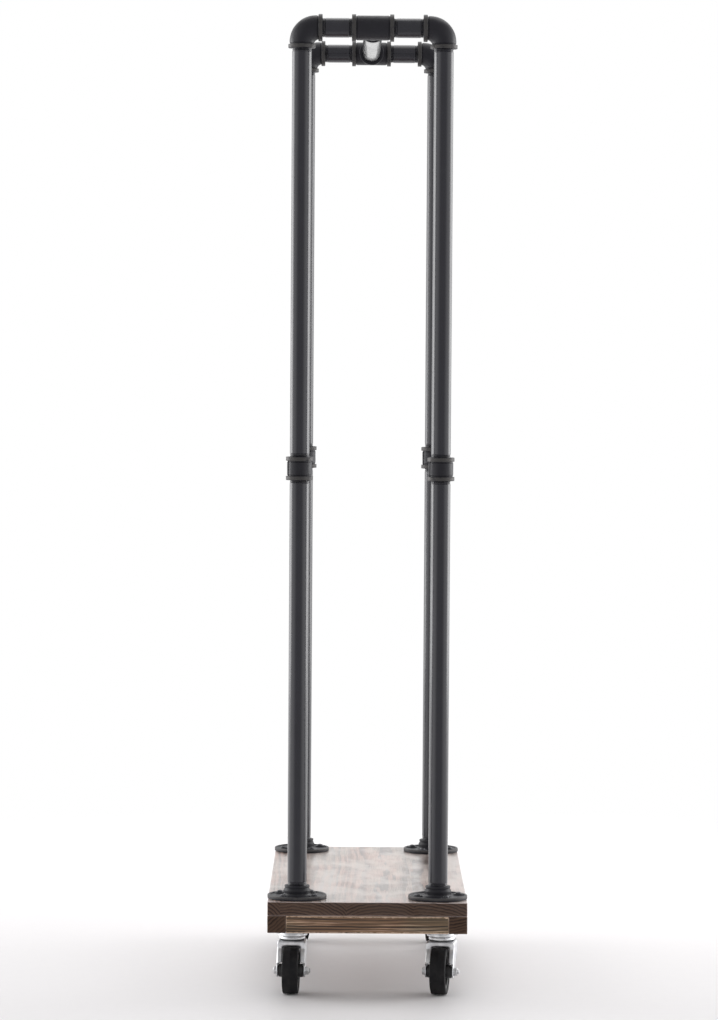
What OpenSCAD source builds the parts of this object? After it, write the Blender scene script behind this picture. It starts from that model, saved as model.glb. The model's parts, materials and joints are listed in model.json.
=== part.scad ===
// Rolling garment rack made of iron pipe and pipe fittings on a wooden base with four casters.
// Millimetres. X runs across the rack, Y along its length, Z up.
// The origin is on the floor, under the middle of the base.

/* [Base] */
// Width of the wooden base, across the rack
base_w = 342; // [300:1:460]
// Length of the wooden base, along the rack
base_l = 750; // [640:1:1300]
// Thickness of the top panel
panel_t = 24; // [18:1:40]
// Height of the rails under the panel
rail_h = 30; // [24:1:50]
// Width of each side rail
side_rail_w = 32; // [24:1:45]
// Width of each end rail, which carries the caster plates
end_rail_w = 128; // [122:1:180]
// Chamfer on the long edges of the boards
board_chamfer = 1.2; // [0.5:0.1:3]

/* [Pipe frame] */
// Distance between the two uprights of one end frame
upright_gap_x = 242; // [200:1:320]
// Distance between the two end frames
upright_gap_y = 640; // [520:1:1180]
// Outer diameter of the pipe
pipe_d = 33.4; // [28:0.1:42]
// Wall of the pipe
pipe_wall = 3.4; // [2.5:0.1:4]
// Length of each of the two pipes in an upright
pipe_len = 726; // [400:1:900]
// Length of the cut thread at each pipe end
thread_len = 20.6; // [18:0.1:26]
// Distance from one thread crest to the next
thread_pitch = 2.3; // [1.8:0.1:3]
// Depth of the thread
thread_h = 1.1; // [0.8:0.1:1.4]

/* [Fittings] */
// Radial gap between a thread crest and the socket that it sits in
thread_gap = 0.05; // [0.02:0.01:0.1]
// Depth of a threaded socket
socket_depth = 15; // [12:0.5:17]
// Wall of a fitting between its bands
fitting_wall = 4.2; // [3:0.1:6]
// How far a band stands out from the body of a fitting
band_rise = 2.4; // [1:0.1:4]
// Width of a band
band_w = 7; // [5:0.5:10]
// Rounding of the band corners
band_round = 1.4; // [0.5:0.1:2]
// Thickness of the stop inside a coupling
coupling_stop = 10; // [4:1:14]
// Distance from the bend's corner to the open end of an elbow
elbow_reach = 35; // [33:0.5:44]
// Radius of the bend along the middle of an elbow
elbow_bend = 25.5; // [24:0.5:26]
// Distance from the middle of a tee to each end of its run
tee_run = 36; // [34:0.5:46]
// Distance from the middle of a tee to the end of its branch
tee_branch = 35; // [34:0.5:46]
// Width of the two ribs along a coupling
rib_w = 4; // [3:0.5:6]

/* [Floor flanges] */
// Diameter of a floor flange
flange_d = 101.6; // [92:0.1:112]
// Thickness of a flange at its rim
flange_t = 7; // [5:0.5:10]
// Depth of the pockets between the rim and the hub
flange_pocket = 2.2; // [1:0.1:3]
// Width of the rim of a flange
flange_rim_w = 4.5; // [3:0.5:8]
// Height of the hub above the base
flange_hub_h = 22; // [20:0.5:30]
// Diameter of the circle of screw holes
flange_pcd = 76; // [70:0.5:80]
// Diameter of a screw hole
flange_hole_d = 7; // [6:0.1:8]
// Diameter of the raised ring round a screw hole
flange_boss_d = 19; // [18:0.5:20]
// Turn of each flange on its pipe, as it was screwed home
flange_turn = [52, 20, 28, 65]; // [0:1:89]

/* [Screws] */
// Shank diameter of the wood screws
screw_d = 4.8; // [4:0.1:6]
// Head diameter of the wood screws
screw_head_d = 10.5; // [8:0.5:12]
// Height of the screw heads
screw_head_h = 3.2; // [2:0.1:4]
// Length of the screws that hold the flanges
flange_screw_l = 24; // [16:1:28]
// Length of the screws that hold the caster plates
caster_screw_l = 22; // [14:1:28]
// Length of the screws that hold the rails to the panel
frame_screw_l = 42; // [34:1:50]

/* [Casters] */
// Diameter of a wheel
wheel_d = 80; // [66:1:100]
// Gap between the top of a wheel and the fork's crown
fork_headroom = 7; // [6:1:30]
// Height of the swivel bearing, from the fork's crown to the underside of the plate
bearing_h = 18; // [16:0.5:22]
// Width of the tyre
wheel_w = 27; // [22:1:34]
// Distance from the swivel axis to the axle
trail = 30; // [24:1:36]
// Distance from the side of the base to the swivel axis
caster_inset_x = 42; // [38:1:60]
// Distance from the end of the base to the swivel axis
caster_inset_y = 72; // [72:1:80]
// Turn of each fork about its swivel axis, in degrees
caster_turn = [-3, -8, 10, -5]; // [-180:1:180]
// Width of a caster plate
plate_w = 64; // [58:1:70]
// Length of a caster plate
plate_l = 92; // [86:1:100]
// Thickness of a caster plate
plate_t = 2.5; // [2:0.1:4]
// Distance across the plate between screw holes
plate_hole_x = 46; // [40:1:50]
// Distance along the plate between screw holes
plate_hole_y = 74; // [68:1:80]
// Diameter of the bearing races
race_d = 52; // [46:0.5:54]
// Sheet thickness of the fork
fork_t = 2.5; // [2:0.1:3.5]
// Diameter of the bearing balls
ball_d = 5; // [4:0.5:6]
// Number of bearing balls in one caster
ball_count = 18; // [10:1:20]
// Diameter of the swivel pin
kingpin_d = 10; // [8:0.5:12]
// Diameter of the axle bolt
axle_d = 8; // [6:0.5:10]
// Length of the wheel's hub along the axle
hub_l = 43; // [36:0.5:50]
// Diameter of the wheel's hub
hub_d = 23; // [18:0.5:28]
// Gap at each side of the hub
hub_gap = 0.5; // [0.3:0.1:1]
// Radial gap of the parts that turn on a pin
running_gap = 0.08; // [0.03:0.01:0.1]
// Thickness of the rubber tyre
tyre_t = 10; // [6:0.5:12]

/* [Hidden] */
$fn = 64;
CORNERS = ["front_left", "front_right", "back_left", "back_right"];
SIDE_X = [-1, 1, -1, 1];
SIDE_Y = [-1, -1, 1, 1];
crown_low_z = wheel_d + fork_headroom;
crown_z = crown_low_z + fork_t;
plate_z = crown_z + bearing_h;
caster_h = plate_z + plate_t;
deck_z = caster_h + rail_h + panel_t;
pipe_r = pipe_d / 2;
crest_r = pipe_r - 0.15;
bore_r = pipe_r - pipe_wall;
socket_r = crest_r + thread_gap;
body_r = socket_r + fitting_wall;
band_r = body_r + band_rise;
// Height of the shoulder at the bottom of a flange's socket
flange_seat = flange_hub_h - socket_depth;
// Height of the ring that a flange screw's head rests on
ring_z = flange_t - 0.4;
lower_z = deck_z + flange_seat;
coupling_z = lower_z + pipe_len + coupling_stop / 2;
coupling_l = 2 * socket_depth + coupling_stop;
upper_z = coupling_z + coupling_stop / 2;
top_z = upper_z + pipe_len + elbow_reach - socket_depth;
nipple_len = upright_gap_x / 2 - elbow_reach - tee_run + 2 * socket_depth;
hanger_len = upright_gap_y - 2 * tee_branch + 2 * socket_depth;
thread_turns = floor(thread_len / thread_pitch);
// Swivel bearing
race_r = race_d / 2;
low_race_r = race_r - 3.5;
boss_z = plate_z - 3.5;
dish_z = plate_z - 4.5;
skirt_top_z = plate_z - 2.5;
skirt_low_z = plate_z - 11;
ball_r = ball_d / 2;
ball_ring_r = race_r - 6.5;
ball_z = dish_z - ball_r - 0.05;
track_z = ball_z - ball_r - 0.2;
pin_head_gap = 0.3;
// Fork
fork_in = hub_l / 2 + hub_gap;
fork_out = fork_in + fork_t;
fork_reach = race_r - 1.5;
axle_z = wheel_d / 2;
axle_boss_r = 11.5;
fork_corner_r = 4.5;
// Edges of a leg seen from the side, from the crown down: the one above the wheel, then the other
back_edge = [
    [-fork_reach, crown_z],
    [-fork_reach, crown_z - 12],
    [-trail - axle_boss_r * 0.96, axle_z + axle_boss_r * 0.25]
];
front_edge = [
    [fork_reach, crown_z],
    [fork_reach, crown_z - 17],
    [axle_boss_r * 0.9 - trail, axle_z - axle_boss_r * 0.42]
];
// The lips turned in along the legs stop above the hub and stay clear of the tyre
lip_end_z = axle_z + hub_d / 2 + 2.5;
lip_in = wheel_w / 2 + 1.5;
// Tops of the openings in the fork, over the wheel and on the side away from it
window_z = wheel_d + 1.5;
apron_z = wheel_d - 10;
window_corner_r = 4;
mould_line = 0.3;
hex_af = 1.62 * axle_d;
bolt_head_h = 0.66 * axle_d;
nut_h = 0.8 * axle_d;
frame_screw_y = [-0.3, -0.1, 0.1, 0.3] * base_l;

// Points of an arc about c, from angle a to angle b, in n steps
function arc(c, r, a, b, n) = [
    for (i = [0:n]) c + r * [cos(a + (b - a) * i / n), sin(a + (b - a) * i / n)]
];

// Half of a screw thread's saw-tooth outline: roots and crests from height z up
function thread_outline(z, step) = [
    for (i = [0:thread_turns - 1], k = [0, 1])
        [crest_r - (k == 0 ? thread_h : 0), z + step * thread_pitch * (i + 0.25 + 0.5 * k)]
];

// Puts children at an upright's axis
module at_upright(i) {
    translate([SIDE_X[i] * upright_gap_x / 2, SIDE_Y[i] * upright_gap_y / 2, 0]) children();
}

// Puts children at a caster's swivel axis
module at_caster(i) {
    x = base_w / 2 - caster_inset_x;
    y = base_l / 2 - caster_inset_y;
    translate([SIDE_X[i] * x, SIDE_Y[i] * y, 0]) children();
}

// Puts children on the turned fork of a caster
module on_fork(i) {
    at_caster(i) rotate([0, 0, caster_turn[i]]) children();
}

// A piece of pipe of length l along Z, threaded at both ends
module threaded_pipe(l) {
    low = thread_outline(0, 1);
    high = thread_outline(l, -1);
    edge = thread_len + 0.6;
    rotate_extrude($fn = 96) polygon(concat(
        [[bore_r, 0], [crest_r - thread_h, 0]],
        low,
        [[pipe_r, edge], [pipe_r, l - edge]],
        [for (i = [len(high) - 1:-1:0]) high[i]],
        [[crest_r - thread_h, l], [bore_r, l]]
    ));
}

// A rounded band round the open end of a fitting; the end is at z = 0 and the fitting below it
module band() {
    b = band_round;
    rotate_extrude($fn = 96) polygon(concat(
        [[socket_r, 0]],
        arc([band_r - b, -b], b, 90, 0, 4),
        arc([band_r - b, b - band_w], b, 0, -90, 4),
        [[socket_r, -band_w]]
    ));
}

// The straight outside of a fitting's end, of length l, with its band
module fitting_end(l, r) {
    translate([0, 0, -l]) cylinder(h = l, r = r);
    band();
}

// The threaded socket and the waterway behind it, cut from a fitting's end
module socket_cut(l) {
    translate([0, 0, -socket_depth]) cylinder(h = socket_depth + 1, r = socket_r);
    translate([0, 0, -l]) cylinder(h = l, r = bore_r);
}

// A wood screw with a pan head; the head's seat is at z = 0 and the point below it
module pan_screw(l) {
    tip = screw_d;
    h = screw_head_h;
    r = screw_head_d / 2;
    difference() {
        rotate_extrude($fn = 48) polygon(concat(
            [[0, -l], [screw_d / 2, tip - l], [screw_d / 2, 0], [r, 0], [r, h * 0.35]],
            [for (t = [1:4]) [r * cos(t * 22.5), h * (0.35 + 0.65 * sin(t * 22.5))]]
        ));
        for (a = [0, 90]) rotate([0, 0, a])
            translate([-r * 0.55, -0.6, h * 0.45]) cube([r * 1.1, 1.2, h]);
    }
}

// The pilot hole that a screw's shank fills
module pilot(l) {
    tip = screw_d;
    rotate_extrude($fn = 48) polygon([
        [0, -l],
        [screw_d / 2, tip - l],
        [screw_d / 2, 1],
        [0, 1]
    ]);
}

// A board of size s with its lowest corner at the origin and its long edges chamfered along Y
module board_y(s) {
    c = board_chamfer;
    translate([0, s[1], 0]) rotate([90, 0, 0]) linear_extrude(s[1]) polygon([
        [c, 0],
        [s[0] - c, 0],
        [s[0], c],
        [s[0], s[2] - c],
        [s[0] - c, s[2]],
        [c, s[2]],
        [0, s[2] - c],
        [0, c]
    ]);
}

// Places of the screws through the flanges
module at_flange_screws() {
    for (i = [0:3], k = [0:3]) at_upright(i)
        rotate([0, 0, flange_turn[i] + 90 * k])
            translate([flange_pcd / 2, 0, deck_z]) children();
}

// Places of the screws through the caster plates, pointing up
module at_caster_screws() {
    for (i = [0:3], x = [-0.5, 0.5], y = [-0.5, 0.5]) at_caster(i)
        translate([x * plate_hole_x, y * plate_hole_y, caster_h]) rotate([180, 0, 0]) children();
}

// Places of the screws up through the rails into the panel
module at_frame_screws() {
    side_x = base_w / 2 - side_rail_w / 2;
    end_y = base_l / 2 - end_rail_w / 2;
    for (x = [-side_x, side_x], y = frame_screw_y)
        translate([x, y, caster_h]) rotate([180, 0, 0]) children();
    for (x = [-30, 30], y = [-end_y, end_y])
        translate([x, y, caster_h]) rotate([180, 0, 0]) children();
}

module top_panel() {
    color("rosybrown") difference() {
        translate([-base_w / 2, -base_l / 2, caster_h + rail_h])
            board_y([base_w, base_l, panel_t]);
        at_flange_screws() translate([0, 0, ring_z]) pilot(flange_screw_l);
        at_frame_screws() pilot(frame_screw_l);
    }
}

module rail_holes() {
    at_caster_screws() translate([0, 0, plate_t]) pilot(caster_screw_l);
    at_frame_screws() pilot(frame_screw_l);
}

// side is -1 on the left and 1 on the right
module side_rail(side) {
    x = side < 0 ? -base_w / 2 : base_w / 2 - side_rail_w;
    color("saddlebrown") difference() {
        translate([x, -base_l / 2, caster_h]) board_y([side_rail_w, base_l, rail_h]);
        rail_holes();
    }
}

// end is -1 at the front and 1 at the back
module end_rail(end) {
    w = base_w - 2 * side_rail_w;
    y = end < 0 ? -base_l / 2 : base_l / 2 - end_rail_w;
    color("sienna") difference() {
        translate([-w / 2, y, caster_h]) cube([w, end_rail_w, rail_h]);
        rail_holes();
    }
}

module frame_screws() {
    color("silver") at_frame_screws() pan_screw(frame_screw_l);
}

module flange_screws() {
    color("silver") at_flange_screws() translate([0, 0, ring_z]) pan_screw(flange_screw_l);
}

module caster_screws() {
    color("silver") at_caster_screws() translate([0, 0, plate_t]) pan_screw(caster_screw_l);
}

// A round floor flange: rim, ringed screw holes, pockets and a threaded hub
module floor_flange(i) {
    r = flange_d / 2;
    hub_r = body_r + 0.8;
    low = flange_t - flange_pocket;
    fillet = 4.5;
    color("dimgray") at_upright(i) translate([0, 0, deck_z]) difference() {
        union() {
            rotate_extrude($fn = 96) polygon(concat(
                [[bore_r, 0], [r - 0.8, 0], [r, 0.8]],
                arc([r - 1.2, flange_t - 1.2], 1.2, 0, 90, 3),
                [[r - flange_rim_w, flange_t], [r - flange_rim_w - 1, low]],
                arc([hub_r + fillet, low + fillet], fillet, 270, 180, 4),
                arc([hub_r - 1.5, flange_hub_h - 1.5], 1.5, 0, 90, 3),
                [[bore_r, flange_hub_h]]
            ));
            for (k = [0:3]) rotate([0, 0, flange_turn[i] + 90 * k])
                translate([flange_pcd / 2, 0, 0.5]) cylinder(h = ring_z - 0.5, d = flange_boss_d);
        }
        translate([0, 0, flange_hub_h]) socket_cut(flange_hub_h + 1);
        for (k = [0:3]) rotate([0, 0, flange_turn[i] + 90 * k])
            translate([flange_pcd / 2, 0, -1]) cylinder(h = flange_t + 2, d = flange_hole_d);
    }
}

module lower_pipe(i) {
    color("black") at_upright(i) translate([0, 0, lower_z]) threaded_pipe(pipe_len);
}

module upper_pipe(i) {
    color("black") at_upright(i) translate([0, 0, upper_z]) threaded_pipe(pipe_len);
}

// A banded coupling with a stop inside and two ribs along it
module coupling(i) {
    h = coupling_l / 2;
    color("dimgray") at_upright(i) translate([0, 0, coupling_z]) difference() {
        union() {
            for (a = [0, 180]) rotate([a, 0, 0]) translate([0, 0, h]) fitting_end(h, body_r);
            rotate([0, 0, -70]) translate([-rib_w / 2, -body_r - 1.3, band_w / 2 - h])
                cube([rib_w, 2 * body_r + 2.6, coupling_l - band_w]);
        }
        for (a = [0, 180]) rotate([a, 0, 0]) translate([0, 0, h]) socket_cut(h + 1);
    }
}

// A quarter ring of tube in the XZ plane, from straight down to straight along -X
module quarter_ring(r) {
    translate([-elbow_bend, 0, -elbow_bend]) rotate([90, 0, 0])
        rotate_extrude(angle = 90, $fn = 96) translate([elbow_bend, 0]) circle(r = r, $fn = 48);
}

// A right-angle elbow that joins an upright to the top of its end frame
module elbow(i) {
    straight = elbow_reach - elbow_bend;
    color("dimgray") at_upright(i) translate([0, 0, top_z])
        scale([SIDE_X[i], 1, 1]) difference() {
            union() {
                quarter_ring(body_r);
                translate([0, 0, -elbow_reach]) rotate([180, 0, 0]) fitting_end(straight, body_r);
                translate([-elbow_reach, 0, 0]) rotate([0, -90, 0]) fitting_end(straight, body_r);
            }
            quarter_ring(bore_r);
            translate([0, 0, -elbow_reach]) rotate([180, 0, 0]) socket_cut(socket_depth);
            translate([-elbow_reach, 0, 0]) rotate([0, -90, 0]) socket_cut(socket_depth);
        }
}

// The two short pipes between the elbows and the tee; end is -1 at the front and 1 at the back
module nipples(end) {
    start = tee_run - socket_depth;
    color("black") translate([0, end * upright_gap_y / 2, top_z])
        for (a = [-90, 90]) rotate([0, a, 0]) translate([0, 0, start]) threaded_pipe(nipple_len);
}

// A tee whose branch points at the other end frame
module tee(end) {
    branch_r = body_r - 0.5;
    color("dimgray") translate([0, end * upright_gap_y / 2, top_z]) difference() {
        union() {
            for (a = [-90, 90]) rotate([0, a, 0])
                translate([0, 0, tee_run]) fitting_end(tee_run, body_r);
            rotate([90 * end, 0, 0]) translate([0, 0, tee_branch])
                fitting_end(tee_branch, branch_r);
        }
        for (a = [-90, 90]) rotate([0, a, 0]) translate([0, 0, tee_run]) socket_cut(tee_run + 1);
        rotate([90 * end, 0, 0]) translate([0, 0, tee_branch]) socket_cut(tee_branch);
    }
}

module hanging_rail() {
    color("gainsboro") translate([0, hanger_len / 2, top_z]) rotate([90, 0, 0])
        threaded_pipe(hanger_len);
}

// The fixed plate of a caster with the dished upper race under it
module caster_plate(i) {
    hole_r = screw_d / 2 + 0.3;
    corner = 6;
    head_r = kingpin_d / 2 + 3;
    x = plate_w / 2 - corner;
    y = plate_l / 2 - corner;
    color("silver") at_caster(i) difference() {
        union() {
            translate([-plate_w / 2, -y, plate_z]) cube([plate_w, 2 * y, plate_t]);
            translate([-x, -plate_l / 2, plate_z]) cube([2 * x, plate_l, plate_t]);
            for (u = [-x, x], v = [-y, y]) translate([u, v, plate_z])
                cylinder(h = plate_t, r = corner);
            rotate_extrude($fn = 96) polygon([
                [0, boss_z],
                [ball_ring_r - ball_r - 1.5, boss_z],
                [ball_ring_r - ball_r - 1, dish_z],
                [ball_ring_r + 1, dish_z],
                [race_r - 2, dish_z - 2],
                [race_r - 2, skirt_low_z],
                [race_r, skirt_low_z],
                [race_r, skirt_top_z],
                [race_r - 3.5, plate_z + 0.1],
                [0, plate_z + 0.1]
            ]);
        }
        translate([0, 0, boss_z - 1]) cylinder(h = 20, d = kingpin_d);
        translate([0, 0, plate_z - 0.5]) cylinder(h = 20, r = head_r);
        for (u = [-0.5, 0.5], v = [-0.5, 0.5])
            translate([u * plate_hole_x, v * plate_hole_y, plate_z - 1])
                cylinder(h = plate_t + 2, r = hole_r);
    }
}

// The rivets that hold the forks to their plates
module kingpins() {
    r = kingpin_d / 2;
    head_r = r + 3;
    low = crown_low_z - pin_head_gap;
    color("silver") for (i = [0:3]) at_caster(i) rotate_extrude($fn = 48) polygon([
        [0, low - 3.6],
        [head_r - 2, low - 3.6],
        [head_r, low - 1.6],
        [head_r, low],
        [r, low],
        [r, plate_z - 0.5],
        [head_r, plate_z - 0.5],
        [head_r, caster_h - 0.4],
        [0, caster_h - 0.4]
    ]);
}

module bearing_balls() {
    color("silver") for (i = [0:3], k = [0:ball_count - 1]) at_caster(i)
        rotate([0, 0, 360 * k / ball_count]) translate([ball_ring_r, 0, ball_z]) sphere(r = ball_r);
}

// Outline of a fork's leg seen from the side: crown, leg and axle boss
module leg_outline() {
    polygon([
        front_edge[0],
        front_edge[1],
        front_edge[2],
        back_edge[2],
        back_edge[1],
        back_edge[0]
    ]);
    translate([-trail, axle_z]) circle(r = axle_boss_r);
}

// Outline of the lip along an edge of the legs, seen from the side; it lies towards side s
module lip_outline(edge, s) {
    low = edge[1] + (edge[2] - edge[1]) * (edge[1][1] - lip_end_z) / (edge[1][1] - edge[2][1]);
    in = [s * fork_t, 0];
    polygon([edge[0], edge[1], low, low + in, edge[1] + in, edge[0] + in]);
}

// Outline of a fork seen along the rack: an upside-down U with round shoulders
module fork_arch(out) {
    x = out - fork_corner_r;
    z = crown_z - fork_out + out - fork_corner_r;
    for (s = [-1, 1]) translate([s * x, z]) circle(r = fork_corner_r);
    translate([-x, 0]) square([2 * x, z + fork_corner_r]);
    translate([-out, 0]) square([2 * out, z]);
}

// Carries a side outline across the whole fork
module across_fork() {
    rotate([90, 0, 90]) translate([0, 0, -fork_out]) linear_extrude(2 * fork_out) children();
}

// Carries an outline seen along the rack from end to end of the fork
module along_fork() {
    rotate([90, 0, 0]) translate([0, 0, -wheel_d]) linear_extrude(2 * wheel_d) children();
}

// Opening between the lips of a fork, up to height top, with round upper corners
module fork_window(top) {
    r = window_corner_r;
    x = lip_in - r;
    for (s = [-1, 1]) translate([s * x, top - r]) circle(r = r);
    translate([-x, 0]) square([2 * x, top]);
    translate([-lip_in, 0]) square([2 * lip_in, top - r]);
}

// The lips folded in along one edge of a fork
module fork_lips(edge, s, top) {
    intersection() {
        across_fork() lip_outline(edge, s);
        along_fork() difference() {
            fork_arch(fork_out);
            fork_window(top);
        }
    }
}

// The pressed fork: legs, crown, lips, lower race and axle holes
module caster_fork(i) {
    color("silver") on_fork(i) difference() {
        union() {
            intersection() {
                across_fork() leg_outline();
                along_fork() difference() {
                    fork_arch(fork_out);
                    fork_arch(fork_in);
                }
            }
            fork_lips(back_edge, 1, window_z);
            fork_lips(front_edge, -1, apron_z);
            rotate_extrude($fn = 96) polygon([
                [0, crown_z - 0.5],
                [low_race_r - 2, crown_z - 0.5],
                [low_race_r - 2, crown_z + 1.2],
                [low_race_r, crown_z + 1.8],
                [low_race_r, track_z - 0.8],
                [low_race_r - 0.8, track_z],
                [0, track_z]
            ]);
        }
        translate([0, 0, crown_low_z - 1])
            cylinder(h = 20, r = kingpin_d / 2 + running_gap);
        translate([-wheel_d, -trail, axle_z]) rotate([0, 90, 0])
            cylinder(h = 2 * wheel_d, d = axle_d);
    }
}

// Puts children on an axle: their Z runs along it to the right
module on_axle(i) {
    on_fork(i) translate([0, -trail, axle_z]) rotate([0, 90, 0]) children();
}

// A hexagon of height h measured across its flats
module hexagon(h) {
    cylinder(h = h, d = hex_af / cos(30), $fn = 6);
}

module axle_bolt(i) {
    tail = 3;
    color("silver") on_axle(i) {
        translate([0, 0, -fork_out - bolt_head_h]) hexagon(bolt_head_h);
        translate([0, 0, -fork_out - 1]) cylinder(h = 2 * fork_out + nut_h + tail + 1, d = axle_d);
    }
}

module axle_nut(i) {
    color("silver") on_axle(i) translate([0, 0, fork_out]) difference() {
        hexagon(nut_h);
        translate([0, 0, -1]) cylinder(h = nut_h + 2, d = axle_d);
    }
}

// The plastic wheel centre: hub, web and rim
module wheel_core(i) {
    rim_r = wheel_d / 2 - tyre_t;
    rim_in = rim_r - 4;
    half = wheel_w / 2 - 1.5;
    web = 4.5;
    color("black") on_axle(i) rotate_extrude($fn = 96) polygon([
        [axle_d / 2 + running_gap, -hub_l / 2],
        [hub_d / 2 - 1, -hub_l / 2],
        [hub_d / 2, 1 - hub_l / 2],
        [hub_d / 2 + 1, -web],
        [rim_in - 1, -web],
        [rim_in, -half],
        [rim_r, -half],
        [rim_r, half],
        [rim_in, half],
        [rim_in - 1, web],
        [hub_d / 2 + 1, web],
        [hub_d / 2, hub_l / 2 - 1],
        [hub_d / 2 - 1, hub_l / 2],
        [axle_d / 2 + running_gap, hub_l / 2]
    ]);
}

// The solid rubber tyre with rounded shoulders and a fine mould line
module wheel_tyre(i) {
    in_r = wheel_d / 2 - tyre_t;
    r = wheel_d / 2 - mould_line;
    h = wheel_w / 2;
    s = 2.6;
    color("black") on_axle(i) rotate_extrude($fn = 96) polygon(concat(
        [[in_r, -h + 1], [r - s - 1, -h]],
        arc([r - s, s - h], s, -90, 0, 5),
        [[r, -0.6], [wheel_d / 2, -0.2], [wheel_d / 2, 0.2], [r, 0.6]],
        arc([r - s, h - s], s, 0, 90, 5),
        [[r - s - 1, h], [in_r, h - 1]]
    ));
}

top_panel();
side_rail(-1);  // side_rail_left
side_rail(1);  // side_rail_right
end_rail(-1);  // end_rail_front
end_rail(1);  // end_rail_back
frame_screws();
flange_screws();
caster_screws();
kingpins();
bearing_balls();
nipples(-1);  // nipples_front
nipples(1);  // nipples_back
tee(-1);  // tee_front
tee(1);  // tee_back
hanging_rail();
for (i = [0:3]) {
    floor_flange(i);
    lower_pipe(i);
    coupling(i);
    upper_pipe(i);
    elbow(i);
    caster_plate(i);
    caster_fork(i);
    axle_bolt(i);
    axle_nut(i);
    wheel_core(i);
    wheel_tyre(i);
}
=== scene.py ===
# %% [markdown]
# # A rolling garment rack of black iron pipe
# The rack is plumbing: eight lengths of threaded pipe stand in four floor flanges, couplings join them at
# mid height, and elbows, nipples and tees close each end into a frame. One more pipe joins the two tees and
# carries the clothes. All of it stands on a slab of torched pine with four swivel casters below.
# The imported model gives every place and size, so the first step is to load it and keep its box.

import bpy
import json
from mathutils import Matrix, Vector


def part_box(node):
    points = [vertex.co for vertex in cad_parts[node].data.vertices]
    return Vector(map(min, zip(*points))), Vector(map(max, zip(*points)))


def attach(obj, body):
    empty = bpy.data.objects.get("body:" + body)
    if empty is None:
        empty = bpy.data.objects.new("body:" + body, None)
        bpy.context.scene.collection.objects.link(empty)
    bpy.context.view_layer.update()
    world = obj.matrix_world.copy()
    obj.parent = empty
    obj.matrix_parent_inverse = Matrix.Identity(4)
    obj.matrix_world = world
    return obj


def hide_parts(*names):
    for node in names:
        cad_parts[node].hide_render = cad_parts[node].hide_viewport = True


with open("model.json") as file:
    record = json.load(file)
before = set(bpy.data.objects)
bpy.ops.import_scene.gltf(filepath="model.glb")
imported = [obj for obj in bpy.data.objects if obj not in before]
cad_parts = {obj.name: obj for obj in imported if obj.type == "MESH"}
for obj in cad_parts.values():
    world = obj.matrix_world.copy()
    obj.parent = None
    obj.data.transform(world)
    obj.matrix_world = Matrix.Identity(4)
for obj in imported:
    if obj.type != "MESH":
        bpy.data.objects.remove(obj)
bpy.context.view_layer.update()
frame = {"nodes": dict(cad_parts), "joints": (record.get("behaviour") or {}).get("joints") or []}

# %% Tools, units and the names of the corners
import json
import math

import bmesh
import bpy
import numpy as np
from mathutils import Matrix, Vector

MM = 0.001
CORNERS = ("front_left", "front_right", "back_left", "back_right")
ENDS = ("front", "back")
joints = {joint["name"]: joint for joint in frame["joints"]}
finishes = {}
print("joints:", ", ".join(sorted(joints)))

# %% [markdown]
# ## From a surface to a mesh
# Almost every piece here is a surface of two parameters: rows run along the piece and columns run round it.
# The points come as one numpy array, and the quads that join them follow from the array's shape alone.
# A surface may close in either direction, and a row whose points all meet makes a pole, which is merged.


# %% Quads of a grid, and a mesh made from several grids
def grid_quads(rows, cols, wrap_rows, wrap_cols):
    """Corner numbers of each quad: a point, its neighbour in the row, and the two below them."""
    r, c = np.meshgrid(
        np.arange(rows if wrap_rows else rows - 1),
        np.arange(cols if wrap_cols else cols - 1),
        indexing="ij",
    )
    below, beside = (r + 1) % rows, (c + 1) % cols
    quads = [r * cols + c, r * cols + beside, below * cols + beside, below * cols + c]
    return np.stack(quads, axis=-1).reshape(-1, 4)


def make_piece(name, shells, body, slot, stands_for=(), sharp=38.0):
    """One object from shells, each (points, wear, wrap_rows, wrap_cols); wear is kept on the points."""
    points, wears, quads, start = [], [], [], 0
    for shell, wear, wrap_rows, wrap_cols in shells:
        rows, cols = shell.shape[:2]
        points.append(shell.reshape(-1, 3))
        wears.append(np.broadcast_to(wear, (rows, cols)).reshape(-1))
        quads.append(grid_quads(rows, cols, wrap_rows, wrap_cols) + start)
        start += rows * cols
    mesh = bpy.data.meshes.new(name)
    mesh.from_pydata(np.concatenate(points).tolist(), [], np.concatenate(quads).tolist())
    layer = mesh.attributes.new("wear", "FLOAT", "POINT")
    layer.data.foreach_set("value", np.concatenate(wears).astype(np.float32))
    close_mesh(mesh, sharp)
    piece = bpy.data.objects.new(name, mesh)
    bpy.context.scene.collection.objects.link(piece)
    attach(piece, body)
    if stands_for:
        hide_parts(*stands_for)
    finishes.setdefault(slot, []).append(piece)
    return piece


def close_mesh(mesh, sharp):
    """Merges poles and seams, turns all faces outwards and keeps edges over the angle sharp."""
    work = bmesh.new()
    work.from_mesh(mesh)
    bmesh.ops.remove_doubles(work, verts=work.verts, dist=1e-6)
    bmesh.ops.recalc_face_normals(work, faces=work.faces)
    work.to_mesh(mesh)
    work.free()
    mesh.shade_smooth()
    mesh.set_sharp_from_angle(angle=math.radians(sharp))


# %% Axes, places, angles and a smooth step
def unit(v):
    """The vector shortened or stretched to length one."""
    v = np.asarray(v, float)
    return v / np.linalg.norm(v, axis=-1, keepdims=True)


def placed(points, origin, z_axis=(0, 0, 1), x_axis=(1, 0, 0)):
    """Local points carried into the rack: origin + x X + y (Z x X) + z Z."""
    z, x = unit(z_axis), unit(x_axis)
    return np.asarray(origin, float) + points @ np.stack([x, np.cross(z, x), z])


def step(x, low, high):
    """0 below low, 1 above high, and 3t^2 - 2t^3 between them."""
    t = np.clip((x - low) / (high - low), 0, 1)
    return t * t * (3 - 2 * t)


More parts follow.
